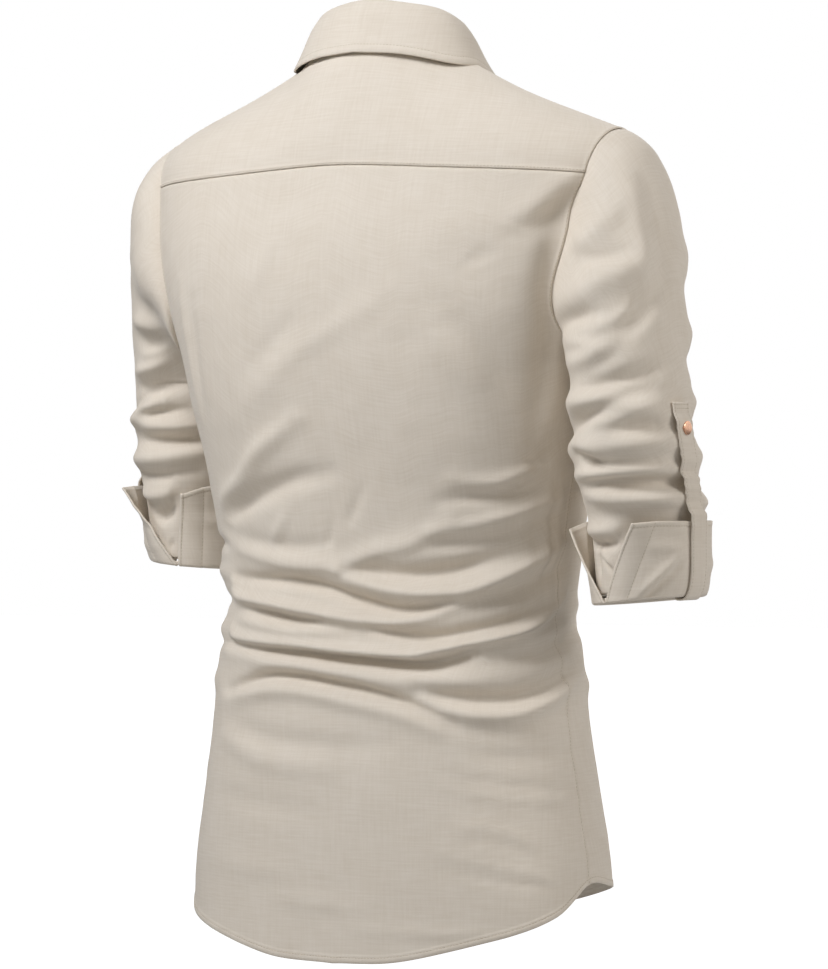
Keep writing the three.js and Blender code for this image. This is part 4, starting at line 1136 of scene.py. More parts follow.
@dataclass(frozen=True)
class Body:
    """The yoke, the back and the front."""

    tailor: Tailor
    form: BodyForm = BodyForm()
    neck: NeckSeam = NeckSeam()
    half_back: int = 11 * FINE
    back_neck: int = 5 * FINE
    half_front: int = 10 * FINE
    front_neck: int = 4 * FINE
    yoke_rows: int = 8 * FINE
    yoke_smoothing: int = 30
    neck_rise: float = 9.5
    neck_reach: float = 0.66
    behind_seam: float = -10
    neck_blend: float = 26
    chest_rows: int = 4 * FINE
    yoke_dip: float = 8
    seam_stitch: float = 1.7
    hem_stitch: float = 5.1
    tuck_fade: float = 4
    yoke_cut: Cut = Cut(0.46, 0.25, 0.072)
    back_cut: Cut = Cut(0.52, 0.68, 0.29)
    front_cut: Cut = Cut(0.54, 0.72, 0.32)

    def underarm(self) -> tuple[int, int]:
        """The rows at which the back's net and the front's net reach the underarms."""
        back = self.yoke_rows + len(refined(BACK_LEVELS)) - 1
        return back, self.chest_rows + len(refined(FRONT_LEVELS)) - 1

    def lower_places(self, start: float, end: float, count: int) -> tuple[list, list]:
        """Angles and heights of the rows from the underarms to the hem.

        Args:
            start: The first angle.
            end: The last angle.
            count: How many lengths to share it into.

        Returns:
            A row of angles and a row of heights for each level.
        """
        angles, heights = [], []
        for z in refined(WAIST_LEVELS)[1:]:
            angles.append(self.form.even_angles(z, start, end, count))
            heights.append(np.full(count + 1, z))
        for share in refined(HEM_SHARES)[1:]:
            level = mix(WAIST_LEVELS[-1], HEM_CURVE[0].z, share)
            row = self.form.even_angles(level, start, end, count)
            hem = read(HEM_CURVE, "angle", "z", np.abs(half_turn(row)))
            angles.append(row)
            heights.append(mix(WAIST_LEVELS[-1], hem, share))
        return angles, heights

    def upper_rows(
        self, handles: Sequence[ColumnHandles], top: np.ndarray, seam: np.ndarray, rows: int, sign: int
    ) -> np.ndarray:
        """Rows from a panel's top edge down to the row that it meets, which isn't one of them.

        Args:
            handles: How each column leaves and arrives.
            top: The top edge.
            seam: The row that it meets.
            rows: How many rows to make.
            sign: 1 at the back, -1 at the front.

        Returns:
            The rows of points.
        """
        half = len(top) // 2
        column = np.arange(-half, half + 1)
        across = np.abs(column) / half
        side = sign * np.sign(column)
        ends = []
        for start, end in (("start", top), ("end", seam)):
            handle = [read(handles, "across", f"{start}_{axis}", across) for axis in "xyz"]
            ends.append(end + on_axes(-side * handle[0], handle[1], handle[2]))
        return bezier(top, ends[0], ends[1], seam, np.arange(rows) / rows)

    def back_net(self) -> ClothNet:
        """The yoke and the back as one net, from the front shoulder seams to the hem.

        Returns:
            The net.
        """
        angles, heights = [], []
        levels = refined(BACK_LEVELS)
        for index, level in enumerate(levels):
            dip = self.yoke_dip * (1 - index / (len(levels) - 1))
            edge = float(read(ARMHOLE_EDGES, "z", "back", level - dip))
            row = self.form.even_angles(level, -edge, edge, 2 * self.half_back)
            angles.append(row)
            heights.append(level - dip * (row / edge) ** 2)
        lower = self.lower_places(-90, 90, 2 * self.half_back)
        points = self.form.folded(np.array(heights + lower[1]), np.array(angles + lower[0]))
        top = self.neck.top_edge(self.half_back, self.back_neck, 0)
        yoke = self.upper_rows(YOKE_HANDLES, top, points[0], self.yoke_rows, 1)
        for _ in range(self.yoke_smoothing):
            yoke[1:, 1:-1] = (yoke[1:, :-2] + 2 * yoke[1:, 1:-1] + yoke[1:, 2:]) / 4
        net = np.concatenate([yoke, points])
        return ClothNet.over(net + on_axes(0, 0, self.neck_fullness(net)))

    def neck_fullness(self, points: np.ndarray) -> np.ndarray:
        """How much higher the cloth lies round the back of the neck.

        Args:
            points: The points.

        Returns:
            The rise at each point.
        """
        neck = self.neck
        away = np.hypot(points[..., 0] / neck.half_width, (points[..., 1] - neck.centre_y) / neck.back)
        behind = faded(points[..., 1] - self.behind_seam, self.neck_blend)
        return self.neck_rise * np.exp(-(((away - 1) / self.neck_reach) ** 2)) * behind

    def front_net(self) -> ClothNet:
        """The front, from the neck and shoulder seams to the hem, the wearer's right side first.

        Returns:
            The net.
        """
        angles, heights = [], []
        for level in refined(FRONT_LEVELS):
            edge = float(read(ARMHOLE_EDGES, "z", "front", level))
            angles.append(self.form.even_angles(level, edge, 360 - edge, 2 * self.half_front))
            heights.append(np.full(2 * self.half_front + 1, level))
        lower = self.lower_places(90, 270, 2 * self.half_front)
        points = self.form.folded(np.array(heights + lower[1]), np.array(angles + lower[0]))
        top = self.neck.top_edge(self.half_front, self.front_neck, 180)[::-1]
        chest = self.upper_rows(FRONT_HANDLES, top, points[0], self.chest_rows, -1)
        return ClothNet.over(np.concatenate([chest, points]))

    def build(self, back: ClothNet, front: ClothNet) -> None:
        """Makes the three panels with their laps, hem and stitching.

        Args:
            back: Net of the yoke and the back.
            front: Net of the front.
        """
        yoke = back.rows(0, self.yoke_rows + 1).edged_on((Edge.BOTTOM, *SIDES, Edge.TOP), LAP)
        panel = back.rows(self.yoke_rows).edged(Edge.TOP, TUCK).edged(Edge.BOTTOM, TURNED_HEM)
        panel = panel.edged_on(SIDES, LAP)
        chest = front.edged(Edge.BOTTOM, TURNED_HEM)
        below = faded(np.arange(len(chest.points)) - self.underarm()[1], self.tuck_fade)
        for side in SIDES:
            chest = chest.edged(side, LAP, TUCK, below)
        chest = chest.edged(Edge.TOP, TUCK)
        yoke_rows = [yoke.row_line(self.seam_stitch, True)]
        back_rows = [panel.row_line(self.hem_stitch, True)]
        back_rows += [panel.column_line(self.seam_stitch, side) for side in SIDES]
        self.tailor.make("yoke", yoke, self.yoke_cut, CLOTH, yoke_rows)
        self.tailor.make("back", panel, self.back_cut, CLOTH, back_rows)
        self.tailor.make("front", chest, self.front_cut, CLOTH, [chest.row_line(self.hem_stitch, True)])


@dataclass(frozen=True)
class CuffOpening:
    """Angles of the V between the cuff's two wings, at the bottom and the top, and how far they flare."""

    low: float
    high: float
    top_low: float
    top_high: float
    flare_low: float
    flare_high: float


@dataclass(frozen=True)
class SleeveForm:
    """One side's sleeve, cuff and tab. sign is -1 on the wearer's right."""

    name: str
    sign: int
    rings: tuple[SleeveRing, ...]
    end: float
    cuff_top: float
    cuff_end: float
    opening: CuffOpening
    tab_angle: float
    tab_top: float
    folds: tuple[Fold, ...]
    creases: tuple[Fold, ...]
    cuff_creases: tuple[Fold, ...]
    drawn_in: tuple[tuple[float, float], ...]
    rounding: float = 20
    rounding_places: int = 10

    def narrowing(self, z: np.ndarray) -> np.ndarray:
        """How far the sleeve is drawn in at each height, with the table's corners rounded off.

        Args:
            z: Height of each place.

        Returns:
            The lengths.
        """
        levels, inward = np.array(self.drawn_in[::-1]).T
        widest = 1 - 1 / self.rounding_places
        share = np.linspace(-widest, widest, self.rounding_places)
        near = np.interp(z[..., None] + share * self.rounding, levels, inward)
        return np.average(near, axis=-1, weights=1 - np.abs(share))

    def ring(self, z: np.ndarray, angle: np.ndarray) -> np.ndarray:
        """Point on the plain sleeve.

        Args:
            z: Height of each place.
            angle: Angle of each place.

        Returns:
            The points.
        """
        turn = np.radians(angle)
        out = read(self.rings, "z", "out", z) + read(self.rings, "z", "half_out", z) * np.cos(turn)
        y = read(self.rings, "z", "y", z) + read(self.rings, "z", "half_depth", z) * np.sin(turn)
        return on_axes(self.sign * out, y, z)

    def outward(self, z: np.ndarray, angle: np.ndarray) -> np.ndarray:
        """The way the plain sleeve faces.

        Args:
            z: Height of each place.
            angle: Angle of each place.

        Returns:
            The ways.
        """
        turn = np.radians(angle)
        x = self.sign * np.cos(turn) / read(self.rings, "z", "half_out", z)
        return unit(on_axes(x, np.sin(turn) / read(self.rings, "z", "half_depth", z), 0))


def sleeve_folds(*rows: tuple[float, ...]) -> tuple[Fold, ...]:
    """Folds of a sleeve, as wide above their lines as below.

    Args:
        rows: Angle and height of the start, the pull and the end of each fold, its rise and its width.

    Returns:
        The folds.
    """
    return tuple(
        Fold(((a0, z0), (a1, z1), (a2, z2)), rise * SLEEVE_DEPTH, width, width)
        for a0, z0, a1, z1, a2, z2, rise, width in rows
    )


RIGHT_SLEEVE = SleeveForm(
    name="right",
    sign=-1,
    rings=(
        SleeveRing(-270, 234, 30, 45, 62),
        SleeveRing(-300, 233, 27, 46, 62),
        SleeveRing(-330, 234, 20, 46, 62),
        SleeveRing(-362, 235, 11, 45, 59),
        SleeveRing(-385, 236, 6, 42, 55),
        SleeveRing(-440, 237, 0, 41, 53),
    ),
    end=-438,
    cuff_top=-378,
    cuff_end=-445,
    opening=CuffOpening(107.4, 108.6, 71, 158, 4, 12),
    tab_angle=7,
    tab_top=-283,
    folds=sleeve_folds(
        (56, -72, 70, -106, 80, -142, -4, 8),
        (35, -119, 66, -150, 102, -161, 4, 9),
        (30, -166, 64, -190, 140, -207, 6, 12),
        (156, -230, 130, -216, 84, -212, -7, 7),
        (106, -258, 52, -244, 6, -180, -5.5, 8),
        (150, -249, 92, -262, 24, -214, 5.5, 8),
        (108, -270, 60, -270, 16, -250, -5.5, 7),
        (150, -285, 90, -280, 20, -290, 5.5, 9),
        (152, -310, 88, -291, 36, -271, -5.5, 7),
        (168, -322, 80, -318, -20, -312, 5.5, 9),
        (128, -322, 108, -328, 92, -333, -6, 6),
        (152, -343, 70, -338, 10, -336, 4.5, 6),
        (116, -349, 62, -345, -10, -348, -6.5, 6),
        (120, -357, 60, -363, -6, -356, 5.5, 7),
        (250, -282, 280, -276, 330, -284, 5, 8),
        (230, -306, 280, -298, 340, -304, -5, 7),
        (220, -326, 270, -320, 340, -328, 5, 8),
        (214, -346, 280, -342, 340, -348, -5, 7),
    ),
    creases=sleeve_folds(
        (66, -92, 84, -120, 98, -152, -4, 7),
        (95, -168, 70, -171, 43, -164, -3, 7),
        (92, -226, 66, -222, 38, -204, 2, 5),
        (140, -236, 112, -234, 88, -240, 2.5, 5),
        (96, -300, 74, -300, 48, -292, 2, 5),
        (70, -306, 46, -300, 22, -302, -2.2, 5),
        (120, -334, 84, -332, 40, -330, -2.4, 4),
        (60, -226, 40, -206, 24, -184, -2.4, 5),
        (20, -104, 34, -160, 30, -200, 3, 9),
        (4, -104, 8, -150, 2, -200, -3, 9),
        (250, -130, 285, -160, 320, -166, 3, 11),
        (240, -182, 280, -200, 330, -190, -4, 11),
        (226, -220, 276, -232, 336, -224, 4, 10),
        (230, -252, 280, -258, 340, -248, -4.5, 9),
        (250, -362, 290, -366, 350, -362, 4, 7),
        (82, -382, 112, -388, 150, -384, 4.5, 7),
        (86, -396, 112, -399, 146, -395, -4.5, 4),
        (125, -402, 124, -420, 121, -440, -6, 2.4),
        (118, -402, 108, -408, 98, -416, 2.5, 3),
        (116, -406, 107, -413, 100, -420, -3, 2.4),
    ),
    cuff_creases=sleeve_folds(
        (60, -402, 40, -398, 16, -404, 1.1, 5),
        (70, -442, 52, -428, 20, -398, 2.2, 4),
        (64, -446, 48, -434, 18, -408, -2.4, 3.4),
        (200, -398, 230, -404, 262, -396, 1.4, 6),
        (280, -420, 310, -412, 344, -420, 1.2, 6),
        (210, -424, 240, -430, 270, -424, -1.2, 6),
    ),
    drawn_in=(
        (-56, 0), (-72, 7), (-90, 11), (-134, 11), (-168, 9), (-195, 8), (-222, 7), (-250, 3), (-275, 0),
    ),
)
LEFT_SLEEVE = SleeveForm(
    name="left",
    sign=1,
    rings=(
        SleeveRing(-262, 234, -50, 45, 61),
        SleeveRing(-300, 236, -58, 46, 61),
        SleeveRing(-330, 236, -61, 47, 61),
        SleeveRing(-352, 236, -63, 43, 57),
        SleeveRing(-372, 236, -65, 41, 54),
        SleeveRing(-420, 236, -70, 41, 53),
    ),
    end=-414,
    cuff_top=-350,
    cuff_end=-420,
    opening=CuffOpening(100, 101.2, 44, 111, 12, 3),
    tab_angle=6,
    tab_top=-262,
    folds=sleeve_folds(
        (66, -222, 88, -230, 116, -228, -3, 7),
        (60, -252, 84, -252, 116, -238, 5.5, 7),
        (56, -266, 96, -266, 140, -258, -5.5, 7),
        (40, -300, 66, -284, 100, -276, 5.5, 7),
        (56, -294, 100, -302, 140, -297, 5, 7),
        (60, -310, 100, -312, 150, -309, -5.5, 6),
        (36, -325, 84, -328, 140, -320, 6, 8),
        (230, -286, 280, -278, 330, -288, 5, 8),
        (236, -308, 280, -302, 340, -310, -5, 7),
        (220, -330, 280, -324, 340, -328, 5, 8),
    ),
    creases=sleeve_folds(
        (70, -150, 92, -180, 118, -190, 2.5, 10),
        (64, -186, 92, -204, 124, -208, -3, 9),
        (60, -206, 88, -214, 118, -216, 3, 6),
        (76, -238, 96, -236, 120, -230, 2.5, 4),
        (50, -280, 74, -272, 104, -268, -2.6, 5),
        (66, -288, 92, -288, 124, -284, -3, 4),
        (40, -340, 82, -344, 130, -338, -3.5, 4),
        (240, -150, 280, -170, 330, -160, 3, 11),
        (236, -196, 280, -214, 336, -204, -4, 11),
        (230, -240, 280, -248, 336, -240, 4, 10),
        (232, -264, 280, -266, 336, -262, -3, 7),
        (10, -130, 26, -160, 40, -196, 1.8, 9),
        (44, -352, 76, -364, 108, -352, 5, 7),
        (60, -376, 84, -384, 106, -366, -5, 6),
        (96, -400, 90, -408, 86, -414, -4, 3),
    ),
    cuff_creases=sleeve_folds(
        (60, -368, 40, -374, 16, -370, 1.2, 5),
        (90, -386, 68, -390, 40, -384, -1.2, 5),
        (84, -404, 60, -408, 30, -402, 1, 5),
        (130, -378, 150, -384, 172, -378, 1.2, 5),
        (200, -380, 240, -388, 280, -380, 1.4, 6),
        (230, -404, 270, -398, 320, -404, -1.2, 6),
    ),
    drawn_in=(
        (-50, 0), (-70, 5), (-98, 9), (-115, 11), (-137, 12), (-165, 12), (-180, 11), (-200, 6), (-226, 0),
    ),
)


# The cuff's section from its top edge down to the turn inside it: share of its height, inward, up
CUFF_SECTION = (
    (1, 0, 0), (0.8, 0, 0), (0.55, 0, 0), (0.3, 0, 0), (0.1, 0, 0), (0.02, 0.5, 0), (0, 2.6, -0.4),
    (0, 4.6, 0.6), (0, 6, 3.4),
)
# The tab's way under the cuff and up inside it: outward from the cuff's face or the sleeve's form, and
# up from the cuff's end
TAB_UNDER = ((0.3, 3), (-1, -2), (-4, -3.6))
TAB_INSIDE = ((-3.6, -2.8), (-6.6, 0), (-7, 9))


@dataclass(frozen=True)
class SleeveWork:
    """Makes one sleeve with its rolled cuff and its tab."""

    form: SleeveForm
    tailor: Tailor
    ring_columns: int = 28 * FINE
    top_column: int = 4 * FINE
    head_rows: int = 10 * FINE + 12
    step: float = 2.3
    seam_gap: float = 0.5
    tucked_in: tuple[tuple[float, float], ...] = ((2.5, 1.6), (0.7, 1.5))
    leave_out: tuple[float, float] = (0.8, 0.15)
    leave_back: float = 0.5
    leave_down: tuple[float, float] = (-0.3, -1)
    head_pull: float = 0.31
    foot_pull: float = 0.33
    folds_start: float = 0.2
    underarm_calm: float = 0.8
    fold_scale: float = 0.945
    fold_fade: float = 14
    bare_fade: tuple[float, float] = (12, 10)
    bare_start: float = 8
    cuff_columns: int = 24 * FINE
    cuff_room: tuple[float, float] = (3.2, 6)
    flare_spread: float = 0.055
    corner_drop: tuple[float, float] = (2, 7)
    cuff_bumps: tuple[float, float] = (0.8, 0.5)
    turn_share: float = 0.02
    tab_width: float = 23
    tab_columns: int = 12
    tab_bend: float = 54
    tab_places: int = 9
    tab_leaves: float = 12
    over_edge: float = 0.6
    over_cuff: float = 0.4
    tab_clear: float = 14
    tab_fade: float = 10
    pressed_angle: float = 26
    pressed_above: float = 12
    pressed_fade: float = 8
    pressed_depth: float = 0.4
    rests_over: float = 14
    rests_beside: float = 10
    button_drop: float = 21
    cuff_seams: tuple[float, float] = (2.9, 21)
    cuff_top_seam: float = 4.1
    tab_seam: float = 2.1
    band_seam: float = 5.2
    inner_side: float = 189
    sleeve_width: float = 96
    inward_power: float = 1.5
    past_end: float = 1.1
    tip_inner: float = -2
    tip_outer: float = 7
    round_in: float = 5
    soft_bumps: Unevenness = Unevenness(seed=21, bumps_round=9, bump_length=34, height=0.8)
    small_bumps: Unevenness = Unevenness(seed=34, bumps_round=30, bump_length=11, height=0.3)
    sleeve_cut: Cut = Cut(0.44, 0.42, 0.145, Held.GATHERED)
    cuff_cut: Cut = Cut(0.33, 0.078, held=Held.FOLDED)
    tab_cut: Cut = Cut(0.023, 0.2, held=Held.LAID)

    def column_angles(self) -> np.ndarray:
        """Angle of each column of the sleeve."""
        return (np.arange(self.ring_columns) - self.top_column) * 360 / self.ring_columns

    def armhole(self, back: np.ndarray, front: np.ndarray, underarm: tuple[int, int]) -> np.ndarray:
        """Values along the armhole edge, from the shoulder seam down the back and up the front.

        Args:
            back: Values at the back net's points.
            front: Values at the front net's points.
            underarm: The row at which each net reaches the underarm.

        Returns:
            One row of values for each column of the sleeve.
        """
        back_side, front_side = (-1, 0) if self.form.sign < 0 else (0, -1)
        down = back[: underarm[0] + 1, back_side]
        up = front[1 : underarm[1], front_side][::-1]
        return np.concatenate([down, up])

    def away(self, ring: np.ndarray, facing: np.ndarray) -> np.ndarray:
        """At each armhole point, the way that runs on from the body cloth.

        Args:
            ring: Points of the armhole.
            facing: The way the cloth faces there.

        Returns:
            The ways.
        """
        along = np.roll(ring, -1, axis=0) - np.roll(ring, 1, axis=0)
        way = unit(np.cross(along, facing))
        inward = ((ring.mean(axis=0) - ring) * way).sum(-1)
        return np.where(inward[:, None] < 0, -way, way)

    def lift(self, angle: np.ndarray, z: np.ndarray) -> np.ndarray:
        """Height of the sleeve's folds, lying flat under the tab and inside the cuff.

        Args:
            angle: Angle of each place.
            z: Height of each place.

        Returns:
            The height at each place.
        """
        form = self.form
        main = FoldField(form.folds, self.fold_scale).height(angle, z)
        fine = FoldField(form.creases, self.fold_scale).height(angle, z)
        fine += self.soft_bumps.at(angle, z) + self.small_bumps.at(angle, z)
        aside = np.abs(half_turn(angle - form.tab_angle))
        under_tab = faded(self.pressed_angle - aside, self.tab_fade)
        under_tab *= faded(form.tab_top + self.pressed_above - z, self.pressed_fade)
        pressed = np.minimum(main, self.crest(z) - self.pressed_depth)
        free = np.maximum(faded(z - form.cuff_top, self.fold_fade), self.bare(angle, z))
        return mix(main + fine, pressed, under_tab) * free

    def bare(self, angle: np.ndarray, z: np.ndarray) -> np.ndarray:
        """Share of the folds that stand out where the sleeve is seen between the cuff's wings.

        Args:
            angle: Angle of each place.
            z: Height of each place.

        Returns:
            The share at each place.
        """
        form, opening = self.form, self.form.opening
        share = faded(z - form.cuff_end, form.cuff_top - form.cuff_end)
        from_low = angle - mix(opening.low, opening.top_low, share)
        from_high = mix(opening.high, opening.top_high, share) - angle
        beside, below = self.bare_fade
        inside = faded(np.minimum(from_low, from_high), beside)
        return inside * faded(z - form.cuff_end - self.bare_start, below)

    def settled(self, net: ClothNet) -> ClothNet:
        """The net drawn in below the shoulder, its lower end tipped up outside and rounded at the bottom.

        Args:
            net: The net.

        Returns:
            The settled net.
        """
        form = self.form
        points = net.points.copy()
        low = np.clip((form.cuff_top - points[..., 2]) / (form.cuff_top - form.cuff_end), 0, self.past_end)
        aside = faded(form.sign * points[..., 0] - self.inner_side, self.sleeve_width)
        points[..., 0] -= form.sign * form.narrowing(points[..., 2]) * aside**self.inward_power
        points[..., 2] += mix(self.tip_inner, self.tip_outer, aside) * low
        points[..., 0] -= form.sign * self.round_in * aside**2 * low**5
        return ClothNet(points, net.facing, net.fullness, net.closed, net.outward)

    def crest(self, z: np.ndarray) -> np.ndarray:
        """Highest fold near the tab at each height, which the tab rests on.

        Args:
            z: Height of each place.

        Returns:
            The rise at each height.
        """
        field = FoldField(self.form.folds, self.fold_scale)
        highest = np.zeros(np.shape(z))
        for rise in np.linspace(-self.rests_over, self.rests_over, 5):
            for turn in (-self.rests_beside, 0, self.rests_beside):
                near = field.height(np.full(np.shape(z), self.form.tab_angle + turn), z + rise)
                highest = np.maximum(highest, near)
        return highest

    def sleeve_net(self, ring: np.ndarray, facing: np.ndarray) -> ClothNet:
        """The sleeve from under the armhole edge to its end inside the cuff.

        Args:
            ring: Points of the armhole.
            facing: The way the cloth faces there.

        Returns:
            The net.
        """
        form = self.form
        angle = self.column_angles()
        under = ((1 - np.cos(np.radians(angle))) / 2) ** 3
        away = self.away(ring, facing)
        start = ring + away * self.seam_gap + on_axes(form.sign * under * self.seam_gap, 0, 0)
        first = form.rings[0].z
        end = form.ring(np.full(len(angle), first), angle)
        reach = np.linalg.norm(end - start, axis=-1)[:, None]
        out, down = mix(*self.leave_out, under), mix(*self.leave_down, under)
        leave = unit(on_axes(form.sign * out, self.leave_back * np.sin(np.radians(angle)), down))
        t = np.arange(self.head_rows) / self.head_rows
        up = np.array([0, 0, 1])
        leave = start + leave * self.head_pull * reach
        head = bezier(start, leave, end + up * self.foot_pull * reach, end, t)
        count = round((first - form.end) / self.step)
        levels = np.linspace(first, form.end, count + 1)[:, None] + 0 * angle
        angles = np.broadcast_to(angle, levels.shape)
        plain = ClothNet.over(np.concatenate([head, form.ring(levels, angles)]), True, form.sign)
        height = self.lift(np.broadcast_to(angle, plain.points.shape[:2]), plain.points[..., 2])
        growing = np.ones(len(height))
        growing[: self.head_rows] = np.minimum(t / self.folds_start, 1)
        quieter = np.ones(height.shape)
        quieter[: self.head_rows] = 1 - self.underarm_calm * under
        net = plain.raised(height * growing[:, None] * quieter)
        tucked = [start - away * inside - facing * sunk for inside, sunk in self.tucked_in]
        points = np.concatenate([tucked, net.points[1:]])
        ways = np.concatenate([[facing] * len(tucked), net.facing[1:]])
        full = np.ones(points.shape[:2])
        full[[0, -1]] = EDGE_THINNING
        return ClothNet(points, ways, full, True, form.sign)

    def cuff_net(self) -> ClothNet:
        """The rolled cuff: its band from the top edge down, then the turn under the sleeve's end.

        Returns:
            The net.
        """
        form, opening = self.form, self.form.opening
        share, inward, up = smooth_path(np.array(CUFF_SECTION, float), PROFILE_STEPS).T[:, :, None]
        share = np.clip(share, 0, 1)
        along = np.arange(self.cuff_columns + 1) / self.cuff_columns
        start = mix(opening.high, opening.top_high, share)
        angle = mix(start, 360 + mix(opening.low, opening.top_low, share), along)
        near_high = np.exp(-((along / self.flare_spread) ** 2))
        near_low = np.exp(-(((1 - along) / self.flare_spread) ** 2))
        flare = share**2 * (opening.flare_high * near_high + opening.flare_low * near_low)
        drop_low, drop_high = self.corner_drop
        drop = share * (drop_high * near_high + drop_low * near_low)
        z = mix(form.cuff_end, form.cuff_top, share) + up - drop
        room = mix(*self.cuff_room, share) + DOUBLE_CLOTH + flare - inward
        points = form.ring(z, angle) + form.outward(z, angle) * room[..., None]
        plain = ClothNet.over(points, False, form.sign)
        height = FoldField(form.cuff_creases, self.fold_scale).height(angle % 360, z)
        small, soft = self.cuff_bumps
        height += self.small_bumps.at(angle, z) * small + self.soft_bumps.at(angle, z) * soft
        tab_side = np.abs(half_turn(angle - form.tab_angle))
        height *= faded(tab_side - self.tab_clear, self.tab_fade) * (share > self.turn_share)
        return plain.raised(height)

    def tab_net(self) -> ClothNet:
        """The tab: down the sleeve, over the cuff, under it and up a little way inside.

        Returns:
            The net.
        """
        form = self.form
        low_room, high_room = self.cuff_room
        on_sleeve = LAID_ON + DOUBLE_CLOTH
        on_top = high_room + 2 * DOUBLE_CLOTH + LAID_ON
        on_bottom = low_room + 2 * DOUBLE_CLOTH + LAID_ON
        # Places down the tab: how far out from the sleeve's form, and height
        leaves = form.cuff_top + self.tab_leaves
        shares = np.linspace(0, 1, self.tab_places)
        down = [(on_sleeve, mix(form.tab_top, leaves, share)) for share in shares]
        down.append((on_top + self.over_edge, form.cuff_top + 1))
        for share in (0.75, 0.5, 0.25):
            height = mix(form.cuff_end, form.cuff_top, share)
            down.append((mix(on_bottom, on_top, share) + self.over_cuff, height))
        down += [(on_bottom + out, form.cuff_end + up) for out, up in TAB_UNDER]
        down += [(out, form.cuff_end + up) for out, up in TAB_INSIDE]
        out, z = smooth_path(np.array(down, float), STRIP_STEPS).T
        crest = np.where(z > form.cuff_top, self.crest(z), 0)
        blend = faded(z - form.cuff_top - 1, self.pressed_fade)
        level = np.maximum(z, form.end)
        centre = form.ring(level, np.full(len(z), form.tab_angle))
        outward = form.outward(level, np.full(len(z), form.tab_angle))
        across = unit(np.cross(np.array([0, 0, 1]), outward))
        rows = []
        for share in np.linspace(-1, 1, self.tab_columns + 1):
            turn = share * self.tab_width / 2
            angle = form.tab_angle + form.sign * math.degrees(turn / self.tab_bend)
            beside = form.ring(level, np.full(len(z), angle)) - centre
            slope = (beside * outward).sum(-1)
            point = centre + outward * (out + slope + crest * blend)[:, None] + across * turn
            point[:, 2] = z
            rows.append(point)
        return ClothNet.over(np.stack(rows, axis=1))

    def build(self, ring: np.ndarray, facing: np.ndarray) -> ClothNet:
        """Makes the sleeve, its cuff and its tab, and their stitching.

        Args:
            ring: The armhole edge of the body cloth.
            facing: The way the body cloth faces there.

        Returns:
            The tab's net, which carries the button.
        """
        name = self.form.name
        sleeve = self.settled(self.sleeve_net(ring, facing))
        self.tailor.make(f"sleeve_{name}", sleeve, self.sleeve_cut, CLOTH)
        under = (f"sleeve_{name}",)
        cuff = self.settled(self.cuff_net()).edged(Edge.TOP, CUFF_TOP_EDGE).edged_on(SIDES, CUFF_SIDE_EDGE)
        seams = [cuff.column_line(inset, side) for side in SIDES for inset in self.cuff_seams]
        seams.append(cuff.row_line(self.cuff_top_seam))
        self.tailor.make(f"cuff_{name}", cuff, self.cuff_cut, DOUBLE_CLOTH, seams, under)
        tab = self.settled(self.tab_net())
        strip = tab.edged_on((Edge.TOP, *SIDES), TAB_EDGE)
        seams = [strip.column_line(self.tab_seam, side) for side in SIDES]
        seams += [strip.row_line(inset) for inset in (self.tab_seam, self.band_seam)]
        self.tailor.make(f"tab_{name}", strip, self.tab_cut, DOUBLE_CLOTH, seams, under)
        return tab


LEAF_EDGE = (
    LeafEdgePlace(0, 0, 75, 12),
    LeafEdgePlace(30, 42, 67, 9),
    LeafEdgePlace(60, 76, 42, 1),
    LeafEdgePlace(90, 87, 4, -8),
    LeafEdgePlace(120, 84, -42, -24),
    LeafEdgePlace(145, 71, -80, -48),
    LeafEdgePlace(163, 58, -102, -74),
)
# The leaf's section from inside the stand over the fold to its edge: share of the way down, up, outward
LEAF_SECTION = (
    (0, -3, -3.9), (0, 0.4, -3.7), (0, 2.6, -2), (0.01, 3.2, 0.6), (0.04, 2.6, 3.2), (0.1, 2, 4.6),
    (0.3, 0.9, 5.2), (0.64, 0, 2.6), (1, 0, 0),
)


